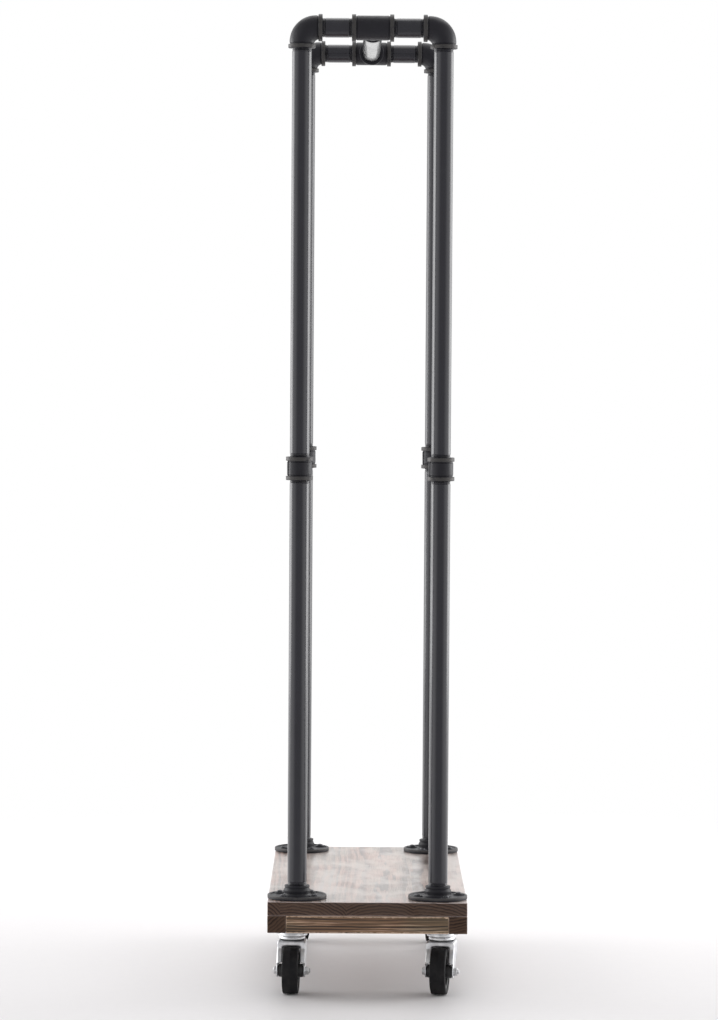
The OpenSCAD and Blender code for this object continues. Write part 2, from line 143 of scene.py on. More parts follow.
def around(cols):
    """Angles of one full turn in equal steps."""
    return np.linspace(0, 2 * np.pi, cols, endpoint=False)


def polar(r, a, z):
    """Points (r cos a, r sin a, z)."""
    return np.stack([r * np.cos(a), r * np.sin(a), z + 0 * a], axis=-1)


def node_box(node):
    """Lowest corner, highest corner and middle of a CAD node as arrays, in metres."""
    low, high = (np.array(corner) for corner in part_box(node))
    return low, high, (low + high) / 2


# %% [markdown]
# ## Unevenness
# Nothing cast, sawn or torched is perfectly even. A value noise gives each point of space a smooth random
# number: values sit on a lattice, hashed from the cell's number, and a point blends the eight round it.
# Cells may be longer in one direction, as the fibres of wood are.


# %% Smooth random values in space
def value_noise(points, cell, seed):
    """Values from -1 to 1: lattice values hashed from cell number and seed, blended by a smooth step."""
    q = points / np.asarray(cell, float)
    base = np.floor(q).astype(np.int64)
    f = q - base
    f = f * f * (3 - 2 * f)
    total = 0.0
    for corner in np.ndindex(2, 2, 2):
        i = base + np.array(corner)
        n = i[..., 0] * 73856093 ^ i[..., 1] * 19349663 ^ i[..., 2] * 83492791 ^ seed * 26544357
        n = ((n ^ (n >> 13)) * 1274126177) & 0xFFFFFFFF
        n = ((n ^ (n >> 16)) * 668265263) & 0xFFFFFFFF
        value = ((n >> 7) & 0xFFFF) / 32767.5 - 1
        weight = np.prod(np.where(np.array(corner) == 1, f, 1 - f), axis=-1)
        total = total + value * weight
    return total


# %% Outlines with rounded corners
def rounded(corners, radii, steps=4):
    """Closed outline through the corners, each replaced by an arc that is tangent to both sides."""
    corners = np.asarray(corners, float)
    out = []
    for k, (p, r) in enumerate(zip(corners, radii)):
        if r <= 0:
            out.append(p[None])
            continue
        a, b = unit(corners[k - 1] - p), unit(corners[(k + 1) % len(corners)] - p)
        half = math.acos(float(np.clip(a @ b, -1, 1))) / 2
        centre = p + unit(a + b) * r / math.sin(half)
        first = p + a * r / math.tan(half) - centre
        last = p + b * r / math.tan(half) - centre
        t = np.linspace(0, 1, steps + 1)[:, None]
        out.append(centre + unit(first * (1 - t) + last * t) * r)
    return np.concatenate(out)


def turned(outline, cols=64):
    """Surface of revolution: (r, z) at each outline point becomes (r cos a, r sin a, z)."""
    return polar(outline[:, :1], around(cols), outline[:, 1:])


# %% [markdown]
# ## Pipes
# Black iron pipe is drawn tube, cut and threaded at both ends. A die cuts the thread, so it runs out
# gradually and a few turns still show beyond each fitting. Screwing real helices is cheap on a grid: the
# radius at a point depends on its height and angle together, which is all that a helix is.

# %% Sizes of the pipe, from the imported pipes
low, high, _ = node_box("lower_pipe_front_left")
PIPE_R = (high[0] - low[0]) / 2
PIPE_BORE = PIPE_R - 3.4 * MM
THREAD_LEN = 20.6 * MM
THREAD_PITCH = 2.3 * MM
THREAD_DEPTH = 1.1 * MM
print("pipe radius in mm:", round(PIPE_R / MM, 2))


# %% A length of threaded pipe
def threaded_pipe(length, turn=0.0):
    """Radius = pipe radius - depth ((1 + cos(2 pi z / pitch - angle)) / 2)^1.3, fading past each thread."""
    cols = 64
    per_end = np.linspace(0, THREAD_LEN + 3 * MM, 84)
    middle = np.linspace(per_end[-1], length - per_end[-1], 9)[1:-1]
    z = np.concatenate([per_end, middle, length - per_end[::-1]])[:, None]
    a = around(cols)[None, :]
    from_end = np.minimum(z, length - z)
    cut = 1 - step(from_end, THREAD_LEN - 2.2 * MM, THREAD_LEN + 1.2 * MM)
    turns = z / THREAD_PITCH - (a + turn) / (2 * np.pi)
    tooth = (0.5 + 0.5 * np.cos(2 * np.pi * turns)) ** 1.3
    point = 1 - step(from_end, 0, 1.2 * MM)
    radius = PIPE_R - cut * (0.12 * MM + THREAD_DEPTH * tooth) - 0.9 * MM * point
    wear = cut * (1 - tooth) * 0.8 + 0 * a
    outer = polar(radius, a, z)
    bore_z = np.linspace(length, 0, 5)
    bore = turned(np.stack([np.full(5, PIPE_BORE), bore_z], axis=1), cols)
    return np.concatenate([outer, bore]), np.concatenate([wear, np.zeros((5, cols))])


def pipe_along(node, axis, turn):
    """A threaded pipe that fills the CAD pipe's box along one axis (0, 1 or 2), as a closed shell."""
    low, high, middle = node_box(node)
    start = middle.copy()
    start[axis] = low[axis]
    points, wear = threaded_pipe(high[axis] - low[axis], turn)
    z_axis = np.eye(3)[axis]
    return placed(points, start, z_axis, np.eye(3)[(axis + 1) % 3]), wear, True, True


# %% The eight upright pipes and the hanging rail
for turn, corner in enumerate(CORNERS):
    for half in ("lower", "upper"):
        node = f"{half}_pipe_{corner}"
        shell = pipe_along(node, 2, 1.3 * turn)
        make_piece(f"{half}_upright_{corner}", [shell], "root", "pipe_black", [node])
shell = pipe_along("hanging_rail", 1, 0.4)
make_piece("rail", [shell], "root", "rail_steel", ["hanging_rail"])
print("pipes made:", 2 * len(CORNERS) + 1)

# %% The nipples: two short pipes between the elbows and the tee of each end
SCREWED_IN = 15 * MM
for end in ENDS:
    low, high, middle = node_box(f"nipples_{end}")
    tee_low, tee_high, _ = node_box(f"tee_{end}")
    shells = []
    for x_low, x_high in ((low[0], tee_low[0] + SCREWED_IN), (tee_high[0] - SCREWED_IN, high[0])):
        points, wear = threaded_pipe(x_high - x_low)
        start = [x_low, middle[1], middle[2]]
        shells.append((placed(points, start, (1, 0, 0), (0, 1, 0)), wear, True, True))
    make_piece(f"nipple_pair_{end}", shells, "root", "pipe_black", [f"nipples_{end}"])

# %% [markdown]
# ## Cast fittings
# The fittings are malleable iron, cast in sand and tapped. Each open end carries a rounded band, which keeps
# the thin casting from splitting as a pipe is screwed home. The halves of the mould leave a fine seam, and
# the sand leaves a slightly uneven skin. One function makes them all: circles stand across a path, with the
# band's outline at each end, and the same circles at the size of the socket make the inside.

# %% Sizes of a fitting
low, high, _ = node_box("coupling_front_left")
BAND_R = (high[0] - low[0]) / 2
BODY_R = BAND_R - 2.4 * MM
BAND_W = 7 * MM
SOCKET_R = PIPE_R - 0.1 * MM
print("band radius and body radius in mm:", round(BAND_R / MM, 2), round(BODY_R / MM, 2))


# %% The open end, the skin and the wall of a fitting
def open_end(length):
    """Outline (distance from the end, radius): a bevelled mouth, the band, a neck, then the body."""
    lead = 0.8 * MM
    neck = BODY_R - 0.8 * MM
    corners = [[lead, SOCKET_R], [0, SOCKET_R + lead], [0, BAND_R], [BAND_W, BAND_R]]
    corners += [[BAND_W, neck], [BAND_W + 1.5 * MM, neck], [BAND_W + 2.5 * MM, BODY_R]]
    corners += [[length, BODY_R]]
    return rounded(corners, np.array([0, 0, 1.3, 1.0, 0.5, 0.5, 0.8, 0]) * MM)


def both_ends(length, swell=0.0):
    """An open end, the body and the mirrored open end; the body swells by a half sine between the bands."""
    end = open_end(BAND_W + 3.2 * MM)
    between = np.linspace(end[-1, 0], length - end[-1, 0], 22)[1:-1]
    bulge = BODY_R + swell * np.sin(np.pi * (between - end[-1, 0]) / (length - 2 * end[-1, 0]))
    far = end[::-1] * [-1, 1] + [length, 0]
    return np.concatenate([end, np.stack([between, bulge], axis=1), far])


def cast_skin(points, seed):
    """How far sand casting moves the skin: coarse waves of 0.12 mm and finer ones of 0.05 mm."""
    return 0.12 * MM * value_noise(points, 7 * MM, seed) + 0.05 * MM * value_noise(
        points, 2.4 * MM, seed + 1
    )


def cast_shell(path, outline, seed, extra=0.0, cols=96):
    """Wall of a fitting: centre + radius (cos a normal + sin a side), out along the path and back inside."""
    a = around(cols)
    s = outline[:, 0]
    back = np.linspace(s[-1], s[0], 9)
    seam = 0.3 * MM * (np.abs(np.sin(a)) < 0.01)
    radius = outline[:, 1:] + seam + extra
    centre, normal, side = path(np.concatenate([s, back]))
    ring = np.cos(a)[None, :, None] * normal[:, None] + np.sin(a)[None, :, None] * side[:, None]
    radius = np.concatenate([radius, np.full((back.size, cols), SOCKET_R)])
    points = centre[:, None] + radius[..., None] * ring
    outer = np.arange(len(radius))[:, None] < s.size
    moved = cast_skin(points, seed) * (radius > SOCKET_R + 2 * MM)
    wear = step(radius, BODY_R + 1.2 * MM, BAND_R) * outer
    radius = np.minimum(radius + moved, BAND_R)
    return centre[:, None] + radius[..., None] * ring, wear, True, True


# %% Couplings, with their two ribs
def straight_path(start, along, normal):
    """Path start + s along, with a fixed normal and side."""
    along, normal = unit(along), unit(normal)

    def path(s):
        lines = np.asarray(start) + s[:, None] * along
        return lines, normal + 0 * lines, np.cross(along, normal) + 0 * lines

    return path


RIB_TURN = math.radians(20)
for seed, corner in enumerate(CORNERS):
    low, high, middle = node_box(f"coupling_{corner}")
    length = high[2] - low[2]
    outline = both_ends(length)
    across = BODY_R * np.abs(np.sin(around(160) - RIB_TURN))
    between = step(np.minimum(outline[:, :1], length - outline[:, :1]), BAND_W, BAND_W + MM)
    ribs = 1.3 * MM * (1 - step(across, 1.4 * MM, 2.6 * MM)) * between
    start = [middle[0], middle[1], low[2]]
    shell = cast_shell(
        straight_path(start, (0, 0, 1), (1, 0, 0)), outline, 10 + seed, ribs, cols=160
    )
    make_piece(f"ribbed_coupling_{corner}", [shell], "root", "cast_black", [f"coupling_{corner}"])
print("couplings made:", len(CORNERS))

# %% Elbows
ELBOW_BEND = 25.5 * MM


def elbow_path(foot, inward, reach):
    """Straight up, a quarter circle of the bend's radius, then straight inwards."""
    straight, quarter = reach - ELBOW_BEND, np.pi / 2 * ELBOW_BEND
    up = np.array([0, 0, 1.0])

    def path(s):
        t = np.clip((s - straight) / ELBOW_BEND, 0, np.pi / 2)[:, None]
        x = ELBOW_BEND * (1 - np.cos(t)) + np.maximum(s - straight - quarter, 0)[:, None]
        z = np.minimum(s, straight)[:, None] + ELBOW_BEND * np.sin(t)
        centre = foot + x * inward + z * up
        return centre, np.sin(t) * up - np.cos(t) * inward, np.cross(inward, up) + 0 * centre

    return path, 2 * straight + quarter


for seed, corner in enumerate(CORNERS):
    low, high, _ = node_box(f"elbow_{corner}")
    _, _, pipe_middle = node_box(f"upper_pipe_{corner}")
    inward = np.array([1.0 if corner.endswith("left") else -1.0, 0, 0])
    reach = high[2] - BAND_R - low[2]
    foot = np.array([pipe_middle[0], pipe_middle[1], low[2]])
    path, length = elbow_path(foot, inward, reach)
    shell = cast_shell(path, both_ends(length, 0.7 * MM), 20 + seed)
    make_piece(f"banded_elbow_{corner}", [shell], "root", "cast_black", [f"elbow_{corner}"])
print("elbow reach in mm:", round(reach / MM, 1))


# %% Tees: a straight run, and a slimmer branch whose foot flares onto it
SLIMMER = 0.5 * MM
def tee_branch(origin, outward, tip, seed):
    """Circles round the branch's axis; the foot's rows widen by a fillet and end on the run's cylinder."""
    cols, fillet, branch_r = 96, 4 * MM, BODY_R - SLIMMER
    a = around(cols)
    end = open_end(BAND_W + 3.2 * MM)
    end[end[:, 1] > BODY_R - 0.1 * MM, 1] -= SLIMMER
    t = np.linspace(0, np.pi / 2, 9)[:, None]
    radius = branch_r + fillet * (1 - np.cos(t)) * np.cos(a) ** 2
    on_run = np.sqrt(np.maximum(BODY_R**2 - (radius * np.sin(a)) ** 2, 0))
    height = on_run + fillet * (1 - np.sin(t)) - 0.4 * MM
    radius = np.concatenate([end[:, 1:] + 0 * a, radius, np.full((2, cols), SOCKET_R)])
    shut = np.array([[8 * MM], [tip - 1 * MM]]) + 0 * a
    height = np.concatenate([tip - end[:, :1] + 0 * a, height, shut])
    points = polar(radius, a, height)
    moved = 0.7 * cast_skin(points, seed) * (radius > SOCKET_R + MM)
    points[..., :2] *= (np.minimum(radius + moved, BAND_R) / radius)[..., None]
    wear = step(radius, BODY_R + MM, BAND_R) * 0.8
    return placed(points, origin, outward, (1, 0, 0)), wear, True, True


for seed, (end, side) in enumerate(zip(ENDS, (1, -1))):
    low, high, _ = node_box(f"tee_{end}")
    _, _, upright = node_box(f"upper_pipe_{end}_left")
    axis_z = high[2] - BAND_R
    start = np.array([low[0], upright[1], axis_z])
    run = cast_shell(
        straight_path(start, (1, 0, 0), (0, 0, 1)), both_ends(high[0] - low[0]), 30 + seed
    )
    far = high[1] if side > 0 else low[1]
    origin = np.array([0, upright[1], axis_z])
    branch = tee_branch(origin, (0, side, 0), abs(far - upright[1]), 34 + seed)
    make_piece(f"banded_tee_{end}", [run, branch], "root", "cast_black", [f"tee_{end}"])
print("axis of the hanging rail in mm:", round(axis_z / MM, 1))

# %% [markdown]
# ## Floor flanges
# A floor flange is a disc with a threaded hub. Its rim and the rings round its screws stand up, and the
# pockets between them are cast thinner. The height is a function of radius and angle: the outline gives it
# along the radius, and near a screw it rises to the ring's height.

# %% One flange as a function of radius and angle
FLANGE_TURNS = dict(zip(CORNERS, (52, 20, 28, 65)))
SCREW_CIRCLE_R = 38 * MM
RING_R = 9.4 * MM
RING_TOP = 6.6 * MM


def flange_shell(rim_r, hub_top, turn, seed):
    """Height = outline's height, lifted to the ring's top where the nearest screw is within its radius."""
    cols, bore = 288, SOCKET_R
    hub_r = BODY_R + 0.8 * MM
    corners = [[bore, 0], [rim_r, 0], [rim_r, 6.4 * MM], [rim_r - 4.2 * MM, 6.4 * MM]]
    corners += [[rim_r - 5.2 * MM, 4.4 * MM], [hub_r + 1.2 * MM, 4.4 * MM]]
    corners += [[hub_r + 1.6 * MM, hub_top - 8 * MM], [hub_r - 0.9 * MM, hub_top - 4.6 * MM]]
    corners += [[hub_r - 0.9 * MM, hub_top - 3.9 * MM], [hub_r, hub_top - 3.4 * MM]]
    corners += [[hub_r, hub_top], [bore, hub_top]]
    radii = np.array([0, 0.8, 1.4, 0.8, 0.8, 4.0, 2.5, 0.4, 0.3, 0.3, 1.2, 0.6]) * MM
    outline = spaced(rounded(corners, radii), 1.0 * MM)
    a = around(cols)
    r, z = outline[:, :1], outline[:, 1:]
    quarter = np.pi / 2
    off = (a - math.radians(turn) + quarter / 2) % quarter - quarter / 2
    gap = np.hypot(r * np.cos(off) - SCREW_CIRCLE_R, r * np.sin(off))
    ring = 1 - step(gap, RING_R - 0.9 * MM, RING_R + 0.3 * MM)
    pocket = (z > 4 * MM) & (r < rim_r - 4 * MM) & (r > hub_r)
    lift = np.where(pocket, np.maximum(RING_TOP - z, 0) * ring, 0)
    points = polar(r, a, z + lift)
    inside = (z > MM) & (r < rim_r - MM) & (r > bore + MM)
    skin = np.where(inside, cast_skin(points + seed, seed), 0)
    points[..., 2] += skin
    wear = step(r, rim_r - 2.5 * MM, rim_r - MM) * (z > 3 * MM) + ring * pocket * 0.6
    return points, wear, True, True


def spaced(outline, gap):
    """The closed outline with points added on its straight parts, none further apart than the gap."""
    ends = np.roll(outline, -1, axis=0)
    out = []
    for p, q in zip(outline, ends):
        parts = max(1, math.ceil(np.linalg.norm(q - p) / gap))
        out.append(p + (q - p) * np.arange(parts)[:, None] / parts)
    return np.concatenate(out)


# %% The four flanges, screwed home at four different turns
for seed, corner in enumerate(CORNERS):
    low, high, middle = node_box(f"floor_flange_{corner}")
    points, wear, wrap_rows, wrap_cols = flange_shell(
        (high[0] - low[0]) / 2, high[2] - low[2], FLANGE_TURNS[corner], 40 + seed
    )
    shell = (points + [middle[0], middle[1], low[2]], wear, wrap_rows, wrap_cols)
    make_piece(
        f"ringed_flange_{corner}", [shell], "root", "cast_black", [f"floor_flange_{corner}"]
    )
print("flange diameter in mm:", round((high[0] - low[0]) / MM, 1))

# %% [markdown]
# ## The wooden base
# The base is one wide panel on a frame of four rails, all of torched and brushed pine. A torch chars the soft
# early wood and a wire brush takes it away, so the hard late wood stands up as fine ribs along the grain.
# Each board is its section carried along its grain. The relief is carved inwards only, so that no board
# grows past its sawn size.


# %% A board with eased edges and brushed faces
def board_shell(low, high, grain, seed, gap=2.6 * MM, ease=1.6 * MM):
    """The section at each step along the grain, shrunk by a circle's curve within the ease of each end."""
    size = high - low
    u, v = [k for k in range(3) if k != grain]
    hu, hv = size[u] / 2, size[v] / 2
    corners = [[-hu, -hv], [hu, -hv], [hu, hv], [-hu, hv]]
    section = spaced(rounded(corners, [ease] * 4), gap)
    bend = ease * (1 - np.sin(np.linspace(0, np.pi / 2, 5)))
    rise = ease * (1 - np.cos(np.linspace(0, np.pi / 2, 5)))
    length = size[grain]
    middle = np.linspace(ease, length - ease, round(length / (2.2 * gap)))[1:-1]
    along = np.concatenate([[0, 0], rise, middle, length - rise[::-1], [length, length]])
    closed, cap = [length], [ease * 1.7]
    inset = np.concatenate([closed, cap, bend, 0 * middle, bend[::-1], cap, closed])
    reach = np.maximum(np.abs(section)[None] - inset[:, None, None], 0)
    flat = np.sign(section)[None] * reach
    points = np.zeros(flat.shape[:2] + (3,))
    points[..., u], points[..., v], points[..., grain] = flat[..., 0], flat[..., 1], along[:, None]
    origin = (low + high) / 2
    origin[grain] = low[grain]
    points = points + origin
    cells = np.full(3, 7 * MM)
    cells[grain] = 90 * MM
    carved = 0.11 * MM * (1 + value_noise(points, cells, seed))
    carved += 0.16 * MM * (1 + value_noise(points, cells * 3.1, seed + 1))
    out = np.where(np.abs(np.abs(section[:, :1]) - hu) < MM / 2, [[1.0, 0]], [[0, 1.0]])
    out = out * np.sign(section)
    sides = (inset < ease)[:, None]
    points[..., u] -= carved * out[:, 0] * sides
    points[..., v] -= carved * out[:, 1] * sides
    from_edge = np.maximum(hu - np.abs(section[:, 0]), hv - np.abs(section[:, 1]))
    by_edge = 1 - step(from_edge, 0.8 * MM, 4.5 * MM)
    by_end = 1 - step(np.minimum(along, length - along), 0, 2.5 * MM)
    rim = (inset < 3 * ease)[:, None]
    return points, np.maximum(by_edge[None, :], by_end[:, None]) * rim, False, True


# %% The panel, two side rails and two end rails
BOARDS = {
    "top_panel": (1, "top_wood", 50),
    "side_rail_left": (1, "side_wood", 53),
    "side_rail_right": (1, "side_wood", 56),
    "end_rail_front": (0, "end_wood", 59),
    "end_rail_back": (0, "end_wood", 62),
}
for node, (grain, slot, seed) in BOARDS.items():
    low, high, _ = node_box(node)
    make_piece(f"brushed_{node}", [board_shell(low, high, grain, seed)], "root", slot, [node])
print("boards made:", len(BOARDS))

# %% [markdown]
# ## Swivel casters
# A caster is pressed zinc-plated steel: a top plate with a dished race, a fork bent from one sheet, and a
# black wheel on a hexagon bolt. The fork trails behind its rivet and the wheel rolls on its bolt, so the
# pieces ride on the bodies of those joints and take their axes from them.


# %% Where a caster's pieces stand
def caster_frame(corner):
    """The rivet's axis, the wheel's centre and the unit vector of the axle, from the two joints."""
    swivel, roll = joints[f"swivel_{corner}"], joints[f"roll_{corner}"]
    return np.array(swivel["pos_m"]), np.array(roll["pos_m"]), unit(roll["axis"])


def rounded_box_radius(a, hx, hy, corner_r):
    """Distance from the centre to a rounded rectangle at each angle, by halving an interval 40 times."""
    low, high = np.zeros_like(a), np.full_like(a, 2 * max(hx, hy))
    for _ in range(40):
        r = (low + high) / 2
        x = np.abs(r * np.cos(a)) - hx + corner_r
        y = np.abs(r * np.sin(a)) - hy + corner_r
        gap = np.hypot(np.maximum(x, 0), np.maximum(y, 0)) + np.minimum(np.maximum(x, y), 0)
        inside = gap < corner_r
        low, high = np.where(inside, r, low), np.where(inside, high, r)
    return low


# %% The top plate, dished under its middle to hold the balls
def caster_plate(low, high, plate_low):
    """Rows go outwards over the race, blend from circle to rounded rectangle, and come back on top."""
    hx, hy = (high[0] - low[0]) / 2, (high[1] - low[1]) / 2
    race_r, bevel = 22 * MM, 0.7 * MM
    a = around(144)
    race = [[0, 3.5], [14, 3.5], [15.4, 3.3], [16.2, 4.4], [20.4, 4.5], [22.9, 5.9], [23.8, 6.9]]
    race += [[23.9, 9.6], [24.4, 10.2], [25.4, 10.2], [25.9, 9.6], [25.9, 3.6], [25.2, 2.3]]
    race = np.array(race + [[23.4, 0.8], [22.2, 0.1]]) * MM
    r = [0 * a + x for x in race[:, 0]]
    z = list(plate_low - race[:, 1])
    edge = rounded_box_radius(a, hx, hy, 6 * MM)
    r += [race_r * (1 - t) + (edge - bevel) * t for t in (0.02, 0.35, 0.7, 1.0)]
    z += [plate_low] * 4
    r += [edge, edge, edge - bevel, edge * 0.5, 0 * a]
    z += [plate_low + bevel, high[2] - bevel, high[2], high[2], high[2]]
    r, z = np.stack(r), np.array(z)[:, None]
    middle = (low + high) / 2
    return polar(r, a, z) + [middle[0], middle[1], 0], 0.0, False, True


# %% The fork: one sheet bent to an arch, with lips folded in along its edges
FORK_OUT = 24.5 * MM
FORK_REACH = 24.5 * MM
BOSS_R = 11.5 * MM
CROWN_Z = 89.5 * MM
SHOULDER_R = 4.5 * MM
WINDOW_X, WINDOW_Z, APRON_Z = 15 * MM, 81.5 * MM, 70 * MM
LIP_END_Z = 54 * MM


def arch_and_window(axle_z, window_z):
    """Points up the left leg, round the shoulders and down, each with its partner on the window's edge."""
    leg = np.linspace(axle_z - BOSS_R, CROWN_Z - SHOULDER_R, 34)
    turn = np.linspace(np.pi, np.pi / 2, 9)[1:]
    arc_x, arc_z = np.cos(turn), np.sin(turn)
    side = FORK_OUT - SHOULDER_R
    top = np.linspace(-side, 0, 7)[1:]
    x = np.concatenate([0 * leg - FORK_OUT, SHOULDER_R * arc_x - side, top])
    z = np.concatenate([leg, CROWN_Z - SHOULDER_R * (1 - arc_z), 0 * top + CROWN_Z])
    soft, sag = 4 * MM, 1.0 * MM * (top / side) ** 2
    wx = [0 * leg - WINDOW_X, soft * arc_x - WINDOW_X + soft, top * (WINDOW_X - soft) / side]
    wz = [np.minimum(leg, window_z - soft), window_z - sag[0] - soft * (1 - arc_z), window_z - sag]
    half = np.stack([x, z, np.concatenate(wx), np.concatenate(wz)], axis=1)
    return np.concatenate([half, half[-2::-1] * [-1, 1, -1, 1]])


def leg_edges(z, axle_z, trail):
    """Edges of a leg seen from the side: broken lines from the crown, then the circle round the axle."""
    down = np.sqrt(np.maximum(BOSS_R**2 - (z - axle_z) ** 2, 0))
    near_z, far_z = axle_z + 3.2 * MM, axle_z - 4.8 * MM
    near_x, far_x = -trail - 11 * MM, 10.4 * MM - trail
    near = np.interp(z, [near_z, CROWN_Z - 12 * MM, CROWN_Z], [near_x, -FORK_REACH, -FORK_REACH])
    far = np.interp(z, [far_z, CROWN_Z - 17 * MM, CROWN_Z], [far_x, FORK_REACH, FORK_REACH])
    return np.where(z < near_z, -trail - down, near), np.where(z < far_z, -trail + down, far)


def fork_sheet(axle_z, trail):
    """Across each arch point the sheet runs lip, fold, flat, fold, lip; each lip has a window's edge."""
    lips, folds = [], []
    for which, window_z in enumerate((WINDOW_Z, APRON_Z)):
        arch = arch_and_window(axle_z, window_z)
        x, z = arch[:, :1], arch[:, 1:2]
        to_window = arch[:, 2:] - arch[:, :2]
        reach = np.linalg.norm(to_window, axis=1, keepdims=True)
        inward = to_window / np.maximum(reach, 1e-9)
        reach = reach * step(z, LIP_END_Z - 2 * MM, LIP_END_Z + 2 * MM)
        fold = np.minimum(3 * MM, reach)
        turn = np.linspace(0, np.pi / 2, 6)[None, :]
        lip = fold + (reach - fold) * np.linspace(1, 0, 4)[None, :-1]
        depth = np.concatenate([lip, fold * (1 - np.sin(turn))], axis=1)
        shift = np.concatenate([0 * lip, fold * (1 - np.cos(turn))], axis=1)
        lip_x, lip_z = x + inward[:, :1] * depth, z + inward[:, 1:] * depth
        edge = leg_edges(lip_z, axle_z, trail)[which]
        lips.append(np.stack([lip_x, edge + shift * (1, -1)[which], lip_z], axis=-1))
        folds.append(fold)
    near, far = leg_edges(z, axle_z, trail)
    middle = np.linspace(0, 1, 8)[None, 1:-1]
    flat = near + folds[0] + (far - near - folds[0] - folds[1]) * middle
    flat = np.stack([x + 0 * flat, flat, z + 0 * flat], axis=-1)
    return np.concatenate([lips[0], flat, lips[1][:, ::-1]], axis=1)


# %% Forks, with the lower race pressed onto each crown
SHEET_T = 2.5 * MM
for corner in CORNERS:
    rivet, wheel, axle = caster_frame(corner)
    trail = float(np.hypot(*(wheel - rivet)[:2]))
    low, high, _ = node_box(f"caster_plate_{corner}")
    plate = caster_plate(low, high, high[2] - SHEET_T)
    make_piece(f"dished_plate_{corner}", [plate], "root", "zinc_steel", [f"caster_plate_{corner}"])
    foot = np.array([rivet[0], rivet[1], 0])
    sheet = placed(fork_sheet(wheel[2], trail), foot, (0, 0, 1), axle)
    fork = make_piece(
        f"pressed_fork_{corner}", [(sheet, 0.0, False, False)], f"fork_{corner}", "zinc_steel",
        [f"caster_fork_{corner}"], sharp=50.0,
    )
    wall = fork.modifiers.new("sheet thickness", "SOLIDIFY")
    wall.thickness, wall.offset, wall.use_even_offset = SHEET_T, -1, True
    cup = [[5.2, 0.1], [17.5, 0.1], [17.5, 1.7], [22.0, 2.1], [22.4, 2.5], [22.4, 6.6]]
    cup = np.array(cup + [[21.9, 7.3], [20.9, 7.5], [20.4, 7.2], [5.2, 7.2]]) * MM + [0, CROWN_Z]
    race = (turned(cup, 96) + foot, 0.0, True, True)
    make_piece(f"lower_race_{corner}", [race], f"fork_{corner}", "zinc_steel")
print("trail of a fork in mm:", round(trail / MM, 1))

# %% Hexagon bolts and nuts
HEX_HALF = 6.48 * MM
ROD_R = 3.95 * MM


def hexagon_solid(base, height, bore=0.0):
    """Radius = the smaller of the hexagon at that angle and a 30 degree cone that rounds off its top."""
    a = around(96)
    flat = HEX_HALF / np.cos((a + np.pi / 6) % (np.pi / 3) - np.pi / 6)
    rows, top = [], HEX_HALF * 0.94
    for z in (0, 0.15 * MM, height / 2, height - 0.9 * MM, height - 0.45 * MM, height):
        cone = top + (height - z) * 1.73
        rows.append((np.minimum(flat - 0.15 * MM * (z == 0), cone), z))
    rows = [(0 * a + bore, 0)] + rows + [(0 * a + max(bore, 0.6 * top), height), (0 * a + bore, height)]
    r = np.stack([row[0] for row in rows])
    z = np.array([base + row[1] for row in rows])[:, None]
    return polar(r, a, z), 0.0, bore > 0, True


def threaded_tail(start, end, radius, pitch=1.25 * MM):
    """A rod whose radius falls by a helical groove of 0.6 mm, with a bevelled tip and closed ends."""
    a = around(48)
    z = np.linspace(start, end, 60)[:, None]
    groove = 0.5 + 0.5 * np.cos(2 * np.pi * (z / pitch - a / (2 * np.pi)))
    r = radius - 0.6 * MM * groove ** 1.4 - 0.9 * MM * step(z, end - 1 * MM, end)
    r = np.concatenate([[0 * a], r, [0 * a]])
    z = np.concatenate([[[start]], z, [[end]]])
    return polar(r, a, z), 0.0, False, True


def on_axle(shell, wheel, axle):
    """A shell drawn with its Z along the axle, carried to the wheel's place."""
    points, wear, wrap_rows, wrap_cols = shell
    return placed(points, wheel, axle, (0, 0, 1)), wear, wrap_rows, wrap_cols


for corner in CORNERS:
    _, wheel, axle = caster_frame(corner)
    head = hexagon_solid(0, 5.3 * MM)[0] * [1, -1, -1] - [0, 0, FORK_OUT]
    ends = (-FORK_OUT - MM, FORK_OUT - MM)
    rod = [[0, ends[0]], [ROD_R, ends[0]], [ROD_R, ends[1]], [0, ends[1]]]
    tail = threaded_tail(FORK_OUT - 2 * MM, FORK_OUT + 9.3 * MM, 4 * MM)
    bolt = ((head, 0.0, False, True), (turned(np.array(rod), 48), 0.0, False, True), tail)
    bolt = [on_axle(part, wheel, axle) for part in bolt]
    make_piece(f"hex_bolt_{corner}", bolt, f"fork_{corner}", "screw_steel", [f"axle_bolt_{corner}"])
    nut = on_axle(hexagon_solid(FORK_OUT + 0.05 * MM, 6.3 * MM, 3.9 * MM), wheel, axle)
    make_piece(f"hex_nut_{corner}", [nut], f"fork_{corner}", "screw_steel", [f"axle_nut_{corner}"])
print("hexagon across its flats in mm:", round(2 * HEX_HALF / MM, 1))

# %% Wheel centres and tyres
def wheel_centre(half_hub, rim_r):
    """Outline (radius, along the axle) of hub, dished web and rim, mirrored and turned."""
    side = np.array([[4.1, half_hub / MM], [6.2, half_hub / MM], [6.6, half_hub / MM - 0.5]])
    side = np.concatenate([side, [[10.6, half_hub / MM - 0.5], [11.4, half_hub / MM - 1.3]]])
    side = np.concatenate([side, [[11.5, 8.5], [13.2, 5.2], [18, 4.4], [24, 4.9], [25.4, 6.4]]])
    side = np.concatenate([side, [[26, 11.2], [26.8, 12.0], [rim_r / MM, 12.0]]]) * MM
    outline = np.concatenate([side, side[::-1] * [1, -1]])
    radii = np.array([0.3, 0.3, 0.3, 0.8, 0.8, 2.5, 2.5, 0, 2, 1.5, 0.8, 0.8, 0]) * MM
    return rounded(outline, np.concatenate([radii, radii[::-1]]), 3)


